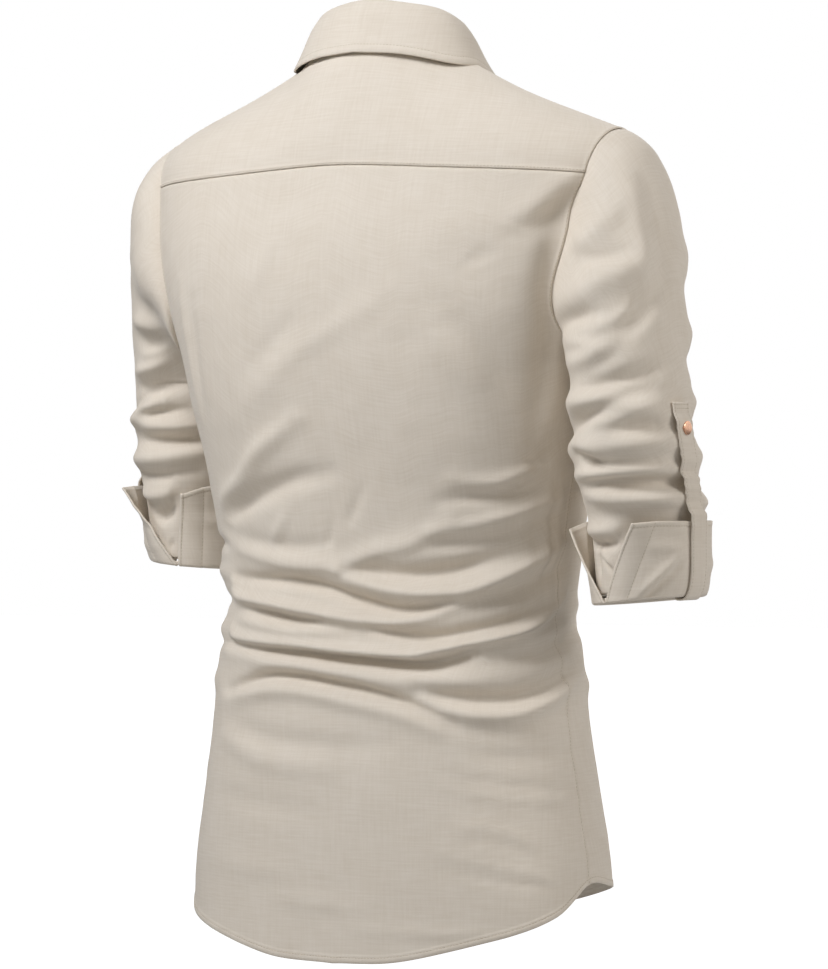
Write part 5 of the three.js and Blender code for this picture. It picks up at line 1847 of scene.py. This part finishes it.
@dataclass(frozen=True)
class Collar:
    """The turn-down collar: a stand on the neck seam and a leaf folded over it."""

    tailor: Tailor
    neck: NeckSeam = NeckSeam()
    columns: int = 26 * FINE
    stand_rows: int = 3 * FINE
    stand_end: float = 178
    inset: float = 2.8
    clear: float = 0.6
    height_back: float = 34
    side_rise: float = 7.5
    side_angle: float = 68
    side_reach: float = 32
    height_front: float = 27
    lean: float = 6
    overlap: float = 14
    wrap_start: float = 150
    wrap_step: float = 2.6
    stand_stitch: float = 2.2
    leaf_stitch: float = 7.5
    button_beside: float = 6
    rest: float = 1.5
    yoke_reach: float = 30
    most_drop: float = 6
    most_lift: float = 6
    edge_smoothing: int = 40
    bumps: Unevenness = Unevenness(seed=5, bumps_round=12, bump_length=30, height=0.7)
    stand_cut: Cut = Cut(0.4, 0.038, held=Held.FOLDED)
    leaf_cut: Cut = Cut(0.46, 0.075, 0.027, Held.FOLDED)

    def stand_point(self, angle: np.ndarray, share: np.ndarray) -> np.ndarray:
        """Point on the stand's outer face, from its seam, 0, to its top, 1.

        Args:
            angle: Angle of each place.
            share: How far up the stand each place is.

        Returns:
            The points.
        """
        base = self.neck.point(np.clip(angle, -180, 180 + self.overlap))
        outward = unit(base - on_axes(0, self.neck.centre_y, base[..., 2]))
        height = mix(self.height_front, self.height_back, (1 + np.cos(np.radians(angle))) / 2)
        beside = (np.abs(angle) - self.side_angle) / self.side_reach
        height = height + self.side_rise * np.exp(-(beside**2))
        wrap = faded(angle - self.wrap_start, 180 - self.wrap_start) * self.wrap_step
        reach = wrap - self.lean * share - self.inset
        return base + outward * reach[..., None] + on_axes(0, 0, mix(self.clear, height, share))

    def stand_net(self) -> ClothNet:
        """The stand from its top edge down to the neck seam.

        Returns:
            The net.
        """
        angle = np.linspace(-self.stand_end, self.stand_end + self.overlap, self.columns + 1)
        share = np.linspace(1, 0, self.stand_rows + 1)[:, None]
        return ClothNet.over(self.stand_point(angle + 0 * share, share + 0 * angle))

    def resting(self, edge: np.ndarray, yoke: np.ndarray) -> np.ndarray:
        """The leaf's edge let down until it lies just above the yoke, where that is under it.

        Args:
            edge: Points of the edge.
            yoke: Points of the yoke.

        Returns:
            The points let down.
        """
        cloth = yoke.reshape(-1, 3)
        near = ((edge[:, None, :2] - cloth[None, :, :2]) ** 2).sum(axis=-1)
        weight = 1 / (near + 1) ** 3
        under = (weight * cloth[:, 2]).sum(axis=1) / weight.sum(axis=1)
        over_yoke = faded(edge[:, 1] + self.yoke_reach, self.yoke_reach)
        drop = np.clip(edge[:, 2] - under - self.rest, -self.most_lift, self.most_drop) * over_yoke
        for _ in range(self.edge_smoothing):
            drop[1:-1] = (drop[:-2] + 2 * drop[1:-1] + drop[2:]) / 4
        return edge - on_axes(0, 0, drop)

    def leaf_net(self, yoke: np.ndarray) -> ClothNet:
        """The leaf from inside the stand, over the fold and down to its edge.

        Args:
            yoke: Points of the yoke.

        Returns:
            The net.
        """
        share, lift, bulge = smooth_path(np.array(LEAF_SECTION, float), PROFILE_STEPS).T[:, :, None]
        reach = LEAF_EDGE[-1].around
        angle = np.linspace(-reach, reach, self.columns + 1)
        top = self.stand_point(angle, np.ones(len(angle)))
        around = np.abs(angle)
        edge = on_axes(
            -np.sign(angle) * read(LEAF_EDGE, "around", "out", around),
            read(LEAF_EDGE, "around", "y", around),
            read(LEAF_EDGE, "around", "z", around),
        )
        edge = self.resting(edge, yoke)
        outward = unit((edge - top) * np.array([1, 1, 0]))
        share = np.broadcast_to(share, (len(share), len(angle)))
        points = top + (edge - top) * share[..., None] + outward * bulge[..., None] + on_axes(0, 0, lift)
        height = self.bumps.at(np.broadcast_to(angle, share.shape), points[..., 2]) * np.clip(share * 2, 0, 1)
        return ClothNet.over(points).raised(height)

    def build(self, yoke: np.ndarray) -> np.ndarray:
        """Makes the stand and the leaf.

        Args:
            yoke: Points of the yoke, which the leaf lies on.

        Returns:
            The way the stand faces where its button sits.
        """
        stand = self.stand_net().edged_on((Edge.BOTTOM, Edge.TOP, *SIDES), PLAIN_EDGE)
        seams = [stand.row_line(self.stand_stitch, True)]
        self.tailor.make("collar_stand", stand, self.stand_cut, DOUBLE_CLOTH, seams, ("yoke", "front"))
        leaf = self.leaf_net(yoke).edged_on((Edge.BOTTOM, *SIDES), LEAF_HEM)
        seams = [leaf.row_line(self.leaf_stitch, True)]
        seams += [leaf.column_line(self.leaf_stitch, side) for side in SIDES]
        self.tailor.make("collar_leaf", leaf, self.leaf_cut, DOUBLE_CLOTH, seams, ("collar_stand",))
        beside = np.array([180 - self.button_beside, 180 + self.button_beside])
        start, end = self.stand_point(beside, np.array([0.5, 0.5]))
        return unit(np.cross(np.array([0, 0, -1]), end - start))


@dataclass(frozen=True)
class Placket:
    """The strip that closes the neck slit."""

    tailor: Tailor
    half_width: float = 16
    top: float = -88
    bottom: float = -344
    rows: int = 16 * FINE
    columns: int = 2 * FINE
    lies_on: float = 0.4
    edge_stitch: float = 2.4
    end_stitch: float = 24
    cut: Cut = Cut(0.032, 0.26, held=Held.LAID)

    def front_point(self, front: ClothNet, x: np.ndarray, z: np.ndarray) -> np.ndarray:
        """Points of the front's outer face straight in from places across and up.

        Args:
            front: Net of the front.
            x: Places across.
            z: Places up.

        Returns:
            A row of points for each height.
        """
        grid = front.points
        rows = []
        for place in x:
            y_down = [np.interp(place, row[:, 0], row[:, 1]) for row in grid]
            z_down = np.array([np.interp(place, row[:, 0], row[:, 2]) for row in grid])
            rows.append(on_axes(place, np.interp(-z, -z_down, y_down), z))
        return np.stack(rows, axis=1)

    def net(self, front: ClothNet) -> ClothNet:
        """The strip laid on the front.

        Args:
            front: Net of the front.

        Returns:
            The net.
        """
        x = np.linspace(-self.half_width, self.half_width, self.columns + 1)
        z = np.linspace(self.top, self.bottom, self.rows + 1)
        on_front = ClothNet.over(self.front_point(front, x, z))
        return on_front.raised(np.full(on_front.points.shape[:2], self.lies_on + DOUBLE_CLOTH))

    def build(self, front: ClothNet) -> ClothNet:
        """Makes the strip and its stitching and returns its net.

        Args:
            front: Net of the front.

        Returns:
            The net.
        """
        strip = self.net(front)
        finished = strip.edged_on((*SIDES, Edge.BOTTOM), PLACKET_EDGE)
        seams = [finished.column_line(self.edge_stitch, side) for side in SIDES]
        seams += [finished.row_line(inset, True) for inset in (self.edge_stitch, self.end_stitch)]
        self.tailor.make("placket", finished, self.cut, DOUBLE_CLOTH, seams, ("front",))
        return strip


@dataclass(frozen=True)
class Button:
    """A metal button: a rolled rim, a groove inside it and a domed middle."""

    copper: Material
    radius: float = 5.2
    thickness: float = 2.4
    sides: int = 48
    steps: tuple[tuple[float, float], ...] = (
        (0.5, 0.12), (0.5, -0.12), (0.35, -0.5), (0.35, 0), (0.5, 0.42), (0.9, 0.26), (1, 0.12),
    )
    rounding: float = 0.3
    rounding_steps: int = 3
    upward: float = 0.9
    sharp_angle: float = 50
    smooth_angle: float = 40

    def blank(self, name: str) -> Object:
        """Models one button lying flat at the origin.

        Args:
            name: Name of the object.

        Returns:
            The new object.
        """
        bpy.ops.object.select_all(action="DESELECT")
        bpy.ops.mesh.primitive_cylinder_add(
            vertices=self.sides,
            radius=self.radius * MM,
            depth=self.thickness * MM,
            location=(0, 0, 0),
        )
        thing = bpy.context.object
        thing.name = name
        thing.data.name = name
        for polygon in thing.data.polygons:
            polygon.select = polygon.normal.z > self.upward
        bpy.ops.object.mode_set(mode="EDIT")
        bpy.ops.mesh.select_mode(type="FACE")
        for width, rise in self.steps:
            bpy.ops.mesh.inset(thickness=width * MM, depth=rise * MM)
        bpy.ops.object.mode_set(mode="OBJECT")
        bevel = thing.modifiers.new("rounded", "BEVEL")
        bevel.width = self.rounding * MM
        bevel.segments = self.rounding_steps
        bevel.limit_method = "ANGLE"
        bevel.angle_limit = math.radians(self.sharp_angle)
        bpy.ops.object.modifier_apply(modifier=bevel.name)
        bpy.ops.object.shade_smooth_by_angle(angle=math.radians(self.smooth_angle))
        thing.data.materials.clear()
        thing.data.materials.append(self.copper)
        return thing

    def sew_on(self, blank: Object, node: str, facing: np.ndarray) -> None:
        """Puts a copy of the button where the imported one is, facing one way.

        Args:
            blank: The button to copy.
            node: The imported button.
            facing: The way it faces.
        """
        low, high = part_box(node)
        thing = bpy.data.objects.new(f"{node}_metal", blank.data.copy())
        bpy.context.scene.collection.objects.link(thing)
        turn = Vector((0, 0, 1)).rotation_difference(Vector(facing)).to_matrix().to_4x4()
        thing.data.transform(Matrix.Translation((low + high) / 2) @ turn)
        Piece(thing.name, (node,), Slot.COPPER).place(thing)


class Wiring:
    """Adds nodes to a material or a node group and joins them."""

    def __init__(self, tree: NodeTree) -> None:
        """Works on one node tree."""
        self.tree = tree

    def node(self, kind: str, **settings: object) -> Node:
        """Adds a node with its settings.

        Args:
            kind: Type of the node.
            settings: Its properties.

        Returns:
            The new node.
        """
        node = self.tree.nodes.new(kind)
        for name, value in settings.items():
            setattr(node, name, value)
        return node

    def join(self, start: NodeSocket, end: NodeSocket) -> None:
        """Joins an output to an input."""
        self.tree.links.new(start, end)

    def math(self, operation: str, *values: NodeSocket | float) -> NodeSocket:
        """Adds a sum of sockets and numbers and returns its output.

        Args:
            operation: What is worked out.
            values: Sockets and numbers.

        Returns:
            The output.
        """
        node = self.node("ShaderNodeMath", operation=operation)
        for socket, value in zip(node.inputs, values):
            if isinstance(value, NodeSocket):
                self.join(value, socket)
            else:
                socket.default_value = value
        return node.outputs[0]

    def varied(self, value: NodeSocket, contrast: float, middle: NodeSocket | float) -> NodeSocket:
        """Spreads a value that lies round a half over a contrast, round a new middle."""
        return self.math("MULTIPLY_ADD", self.math("SUBTRACT", value, 0.5), contrast, middle)

    def blend(self, share: NodeSocket, start: Colour, end: Colour) -> NodeSocket:
        """Adds a mix of two colours and returns its output.

        Args:
            share: How far the mix goes over to the second.
            start: The first colour.
            end: The second colour.

        Returns:
            The output.
        """
        node = self.node("ShaderNodeMix", data_type="RGBA", clamp_factor=True)
        self.join(share, node.inputs["Factor"])
        # Sockets 6 and 7 are its two colours, and output 2 is the mixed one
        node.inputs[6].default_value = (*start, 1)
        node.inputs[7].default_value = (*end, 1)
        return node.outputs[2]

    def noise(self, vector: NodeSocket, scale: float, detail: float, roughness: float = 0.5) -> NodeSocket:
        """Adds a noise texture and returns its value.

        Args:
            vector: The place to read it at.
            scale: How many spots it has in a metre.
            detail: How many finer layers it has.
            roughness: How strong each finer layer is.

        Returns:
            The output.
        """
        node = self.node("ShaderNodeTexNoise")
        node.inputs["Scale"].default_value = scale
        node.inputs["Detail"].default_value = detail
        node.inputs["Roughness"].default_value = roughness
        self.join(vector, node.inputs["Vector"])
        return node.outputs["Fac"]

    def combine(self, x: NodeSocket, y: NodeSocket, z: float) -> NodeSocket:
        """Puts a vector together.

        Args:
            x: First number.
            y: Second number.
            z: Third number.

        Returns:
            The output.
        """
        node = self.node("ShaderNodeCombineXYZ")
        self.join(x, node.inputs[0])
        self.join(y, node.inputs[1])
        node.inputs[2].default_value = z
        return node.outputs[0]


def new_material(name: str) -> tuple[Material, Wiring, Node]:
    """Makes a material and returns it with its wiring and its shader.

    Args:
        name: Name of the material.

    Returns:
        The material, its wiring and its shader.
    """
    material = bpy.data.materials.new(name)
    material.use_nodes = True
    return material, Wiring(material.node_tree), material.node_tree.nodes["Principled BSDF"]


# How strong the slubs' finer layers are, and how far the warp's slubs lie from the weft's
SLUB_ROUGHNESS = 0.55
WARP_SHIFT = 7.3


def thread_pattern() -> NodeTree:
    """The group that lays out a plain weave and the thick places in its threads.

    Returns:
        The group.
    """
    group = bpy.data.node_groups.new("thread_pattern", "ShaderNodeTree")
    face = group.interface
    face.new_socket(name="Threads", in_out="INPUT", socket_type="NodeSocketVector")
    for name, value in (("Threads Per Metre", 1500), ("Slub Turns Per Metre", 34), ("Slubs Per Metre", 620)):
        face.new_socket(name=name, in_out="INPUT", socket_type="NodeSocketFloat").default_value = value
    for name in ("Weft Slub", "Warp Slub", "Weave"):
        face.new_socket(name=name, in_out="OUTPUT", socket_type="NodeSocketFloat")
    wires = Wiring(group)
    start = wires.node("NodeGroupInput")
    end = wires.node("NodeGroupOutput")
    split = wires.node("ShaderNodeSeparateXYZ")
    wires.join(start.outputs["Threads"], split.inputs[0])
    along, down = split.outputs[0], split.outputs[1]
    turns, slubs = start.outputs["Slub Turns Per Metre"], start.outputs["Slubs Per Metre"]
    weft = wires.combine(wires.math("MULTIPLY", along, turns), wires.math("MULTIPLY", down, slubs), 0)
    warp = wires.combine(wires.math("MULTIPLY", along, slubs), wires.math("MULTIPLY", down, turns), WARP_SHIFT)
    wires.join(wires.noise(weft, 1, 3, SLUB_ROUGHNESS), end.inputs["Weft Slub"])
    wires.join(wires.noise(warp, 1, 3, SLUB_ROUGHNESS), end.inputs["Warp Slub"])
    count = start.outputs["Threads Per Metre"]
    waves = [
        wires.math("SINE", wires.math("MULTIPLY", wires.math("MULTIPLY", side, count), math.pi))
        for side in (along, down)
    ]
    wires.join(wires.math("MULTIPLY_ADD", wires.math("MULTIPLY", *waves), 0.5, 0.5), end.inputs["Weave"])
    return group


@dataclass(frozen=True)
class LinenFinish:
    """Linen and cotton cloth: an undyed plain weave with uneven threads."""

    pattern: NodeTree
    name: str = "undyed_linen"
    light: Colour = (0.74, 0.675, 0.585)
    dark: Colour = (0.65, 0.575, 0.475)
    roughness: float = 0.88
    sheen: float = 0.1
    sheen_spread: float = 0.45
    gloss: float = 0.25
    bump: float = 0.3
    bump_depth: float = 0.25
    weft_share: float = 0.6
    tone: float = 0.32
    slub_contrast: float = 2
    weave_contrast: float = 0.16
    patch_contrast: float = 0.5
    patches_per_metre: float = 26
    slub_relief: float = 1.4
    weave_relief: float = 0.5
    rough_range: float = 0.1

    def build(self) -> Material:
        """Makes the material.

        Returns:
            The material.
        """
        material, wires, shader = new_material(self.name)
        threads = wires.node("ShaderNodeUVMap", uv_map="threads")
        cloth = wires.node("ShaderNodeGroup", node_tree=self.pattern)
        wires.join(threads.outputs[0], cloth.inputs["Threads"])
        weft, warp, weave = (cloth.outputs[name] for name in ("Weft Slub", "Warp Slub", "Weave"))
        place = wires.node("ShaderNodeTexCoord")
        patches = wires.noise(place.outputs["Object"], self.patches_per_metre, 3)
        weft_part = wires.math("MULTIPLY", weft, self.weft_share)
        streak = wires.math("ADD", weft_part, wires.math("MULTIPLY", warp, 1 - self.weft_share))
        tone = wires.varied(streak, self.slub_contrast, self.tone)
        tone = wires.varied(patches, self.patch_contrast, tone)
        tone = wires.varied(weave, -self.weave_contrast, tone)
        wires.join(wires.blend(tone, self.light, self.dark), shader.inputs["Base Color"])
        rough = wires.varied(streak, self.rough_range, self.roughness)
        wires.join(rough, shader.inputs["Roughness"])
        slubs = wires.math("MULTIPLY", streak, self.slub_relief)
        relief = wires.math("ADD", slubs, wires.math("MULTIPLY", weave, self.weave_relief))
        bump = wires.node("ShaderNodeBump")
        bump.inputs["Strength"].default_value = self.bump
        bump.inputs["Distance"].default_value = self.bump_depth * MM
        wires.join(relief, bump.inputs["Height"])
        wires.join(bump.outputs[0], shader.inputs["Normal"])
        shader.inputs["Sheen Weight"].default_value = self.sheen
        shader.inputs["Sheen Roughness"].default_value = self.sheen_spread
        shader.inputs["Specular IOR Level"].default_value = self.gloss
        return material


@dataclass(frozen=True)
class ThreadFinish:
    """Sewing thread a little deeper in colour than the cloth."""

    name: str = "linen_thread"
    light: Colour = (0.6, 0.525, 0.41)
    dark: Colour = (0.47, 0.4, 0.3)
    fibres_per_metre: float = 900
    roughness: float = 0.75
    sheen: float = 0.1

    def build(self) -> Material:
        """Makes the material.

        Returns:
            The material.
        """
        material, wires, shader = new_material(self.name)
        place = wires.node("ShaderNodeTexCoord")
        fibres = wires.noise(place.outputs["Object"], self.fibres_per_metre, 2)
        wires.join(wires.blend(fibres, self.light, self.dark), shader.inputs["Base Color"])
        shader.inputs["Roughness"].default_value = self.roughness
        shader.inputs["Sheen Weight"].default_value = self.sheen
        return material


@dataclass(frozen=True)
class CopperFinish:
    """Polished copper plate with darker rubbed places."""

    name: str = "copper_plate"
    bright: Colour = (0.86, 0.52, 0.36)
    rubbed: Colour = (0.5, 0.25, 0.15)
    rubs_per_metre: float = 700
    rub_detail: float = 0.6
    rub_contrast: float = 2.2
    rub_share: float = 0.3
    roughness: float = 0.14
    rough_range: float = 0.2

    def build(self) -> Material:
        """Makes the material.

        Returns:
            The material.
        """
        material, wires, shader = new_material(self.name)
        place = wires.node("ShaderNodeTexCoord")
        wear = wires.noise(place.outputs["Object"], self.rubs_per_metre, 4, self.rub_detail)
        tone = wires.varied(wear, self.rub_contrast, self.rub_share)
        wires.join(wires.blend(tone, self.bright, self.rubbed), shader.inputs["Base Color"])
        rough = wires.math("MULTIPLY_ADD", wear, self.rough_range, self.roughness)
        wires.join(rough, shader.inputs["Roughness"])
        shader.inputs["Metallic"].default_value = 1
        return material


@dataclass(frozen=True)
class PlainFinish:
    """A plain pale finish for the floor, which the camera sees as white."""

    name: str = "pale_floor"
    colour: Colour = (0.7, 0.7, 0.7)
    roughness: float = 0.9
    glow: float = 1

    def build(self) -> Material:
        """Makes the material.

        Returns:
            The material.
        """
        material, wires, shader = new_material(self.name)
        shader.inputs["Base Color"].default_value = (*self.colour, 1)
        shader.inputs["Roughness"].default_value = self.roughness
        shader.inputs["Emission Color"].default_value = (1, 1, 1, 1)
        seen_by_camera = wires.node("ShaderNodeLightPath").outputs["Is Camera Ray"]
        wires.join(wires.math("MULTIPLY", seen_by_camera, self.glow), shader.inputs["Emission Strength"])
        return material


@dataclass(frozen=True)
class SoftLight:
    """A large lamp: metres to the camera's right, towards it and up from the garment, its size and power."""

    name: str
    right: float
    toward: float
    up: float
    size: float
    power: float
    colour: Colour = (1, 1, 1)


# The photograph's frame and the place of the garment's origin in it, in pixels, and its scale
FRAME_WIDTH, FRAME_HEIGHT = 828, 969
ORIGIN_ACROSS, ORIGIN_DOWN = 398, 66
PIXELS_PER_MM = 1.2
# How far below the origin the camera looks
AIM_DROP = 350


@dataclass(frozen=True)
class Studio:
    """The floor, the lights and the camera."""

    azimuth: float = 210
    distance: float = 4
    floor_height: float = -1.45
    floor_size: float = 60
    sensor_height: float = 24
    shift: tuple[float, float] = (
        (FRAME_WIDTH / 2 - ORIGIN_ACROSS) / FRAME_HEIGHT,
        (ORIGIN_DOWN + AIM_DROP * PIXELS_PER_MM - FRAME_HEIGHT / 2) / FRAME_HEIGHT,
    )
    lamps: tuple[SoftLight, ...] = (
        SoftLight("key_light", -1.2, 1.15, 1.6, 0.8, 42, (0.955, 0.965, 1)),
        SoftLight("side_light", 2.2, 0.6, 0.9, 1.2, 24, (1, 0.97, 0.95)),
        SoftLight("fill_light", -0.3, 3.1, 0.6, 2.4, 12, (1, 0.94, 0.86)),
        SoftLight("front_light", 0.6, -2.8, 1.6, 2.2, 30),
    )
    sky: float = 0.12
    backdrop: float = 1.0

    def directions(self) -> tuple[Vector, Vector]:
        """The ways to the camera's right and towards the camera, from the garment.

        Returns:
            The two ways.
        """
        turn = math.radians(self.azimuth)
        toward = Vector((math.sin(turn), -math.cos(turn), 0))
        return Vector((math.cos(turn), math.sin(turn), 0)), toward

    def build(self) -> None:
        """Makes the floor, the lights and the camera."""
        bpy.ops.object.select_all(action="DESELECT")
        bpy.ops.mesh.primitive_plane_add(size=self.floor_size, location=(0, 0, self.floor_height))
        floor = bpy.context.object
        floor.name = "studio_floor"
        floor.data.materials.append(PlainFinish().build())
        right, toward = self.directions()
        middle = Vector((0, 0, -AIM_DROP * MM))
        for lamp in self.lamps:
            data = bpy.data.lights.new(lamp.name, "AREA")
            data.size = lamp.size
            data.energy = lamp.power
            data.color = lamp.colour
            light = bpy.data.objects.new(lamp.name, data)
            light.location = middle + right * lamp.right + toward * lamp.toward + Vector((0, 0, lamp.up))
            light.rotation_euler = (light.location - middle).to_track_quat("Z", "Y").to_euler()
            bpy.context.scene.collection.objects.link(light)
        self.add_sky()
        self.add_camera(middle, toward)

    def add_sky(self) -> None:
        """Makes a sky that lights softly and is seen as a white backdrop."""
        world = bpy.data.worlds.new("soft_sky")
        world.use_nodes = True
        wires = Wiring(world.node_tree)
        background = world.node_tree.nodes["Background"]
        background.inputs["Color"].default_value = (1, 1, 1, 1)
        rays = wires.node("ShaderNodeLightPath")
        seen = wires.math("MAXIMUM", rays.outputs["Is Camera Ray"], rays.outputs["Is Glossy Ray"])
        strength = wires.math("MULTIPLY_ADD", seen, self.backdrop - self.sky, self.sky)
        wires.join(strength, background.inputs["Strength"])
        bpy.context.scene.world = world
        bpy.context.scene.view_settings.view_transform = "Standard"

    def add_camera(self, middle: Vector, toward: Vector) -> None:
        """Makes the camera at the photograph's viewing angle.

        Args:
            middle: Where it looks.
            toward: The way from there to the camera.
        """
        data = bpy.data.cameras.new("studio_camera")
        data.sensor_fit = "VERTICAL"
        data.sensor_height = self.sensor_height
        data.lens = self.sensor_height * self.distance / (FRAME_HEIGHT / PIXELS_PER_MM * MM)
        data.shift_x, data.shift_y = self.shift
        data.clip_end = 2 * self.floor_size
        camera = bpy.data.objects.new("studio_camera", data)
        camera.location = middle + toward * self.distance
        camera.rotation_euler = toward.to_track_quat("Z", "Y").to_euler()
        bpy.context.scene.collection.objects.link(camera)
        bpy.context.scene.camera = camera


FRONT_BUTTONS = tuple(f"placket_button_{number}" for number in (1, 2, 3, 4))


def main() -> None:
    """Builds the garment and the studio."""
    logging.basicConfig(level=logging.INFO, format="%(name)s %(message)s")
    Studio().build()
    tailor = Tailor(LinenFinish(thread_pattern()).build(), ThreadFinish().build())
    button = Button(CopperFinish().build())
    blank = button.blank("button_blank")
    body = Body(tailor)
    back, front = body.back_net(), body.front_net()
    body.build(back, front)
    for form in (RIGHT_SLEEVE, LEFT_SLEEVE):
        work = SleeveWork(form, tailor)
        ring = work.armhole(back.points, front.points, body.underarm())
        facing = work.armhole(back.facing, front.facing, body.underarm())
        tab = work.build(ring, facing)
        middle = work.tab_columns // 2
        spot = np.abs(tab.points[:, middle, 2] - (form.tab_top - work.button_drop)).argmin()
        button.sew_on(blank, f"tab_button_{form.name}", tab.facing[spot, middle])
    button.sew_on(blank, "neck_button", Collar(tailor).build(back.points[: body.yoke_rows]))
    strip = Placket(tailor).build(front)
    middle = strip.points.shape[1] // 2
    for node in FRONT_BUTTONS:
        low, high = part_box(node)
        height = (low.z + high.z) / 2 / MM
        row = np.abs(strip.points[:, middle, 2] - height).argmin()
        button.sew_on(blank, node, strip.facing[row, middle])
    bpy.data.objects.remove(blank)


if __name__ == "__main__":
    main()
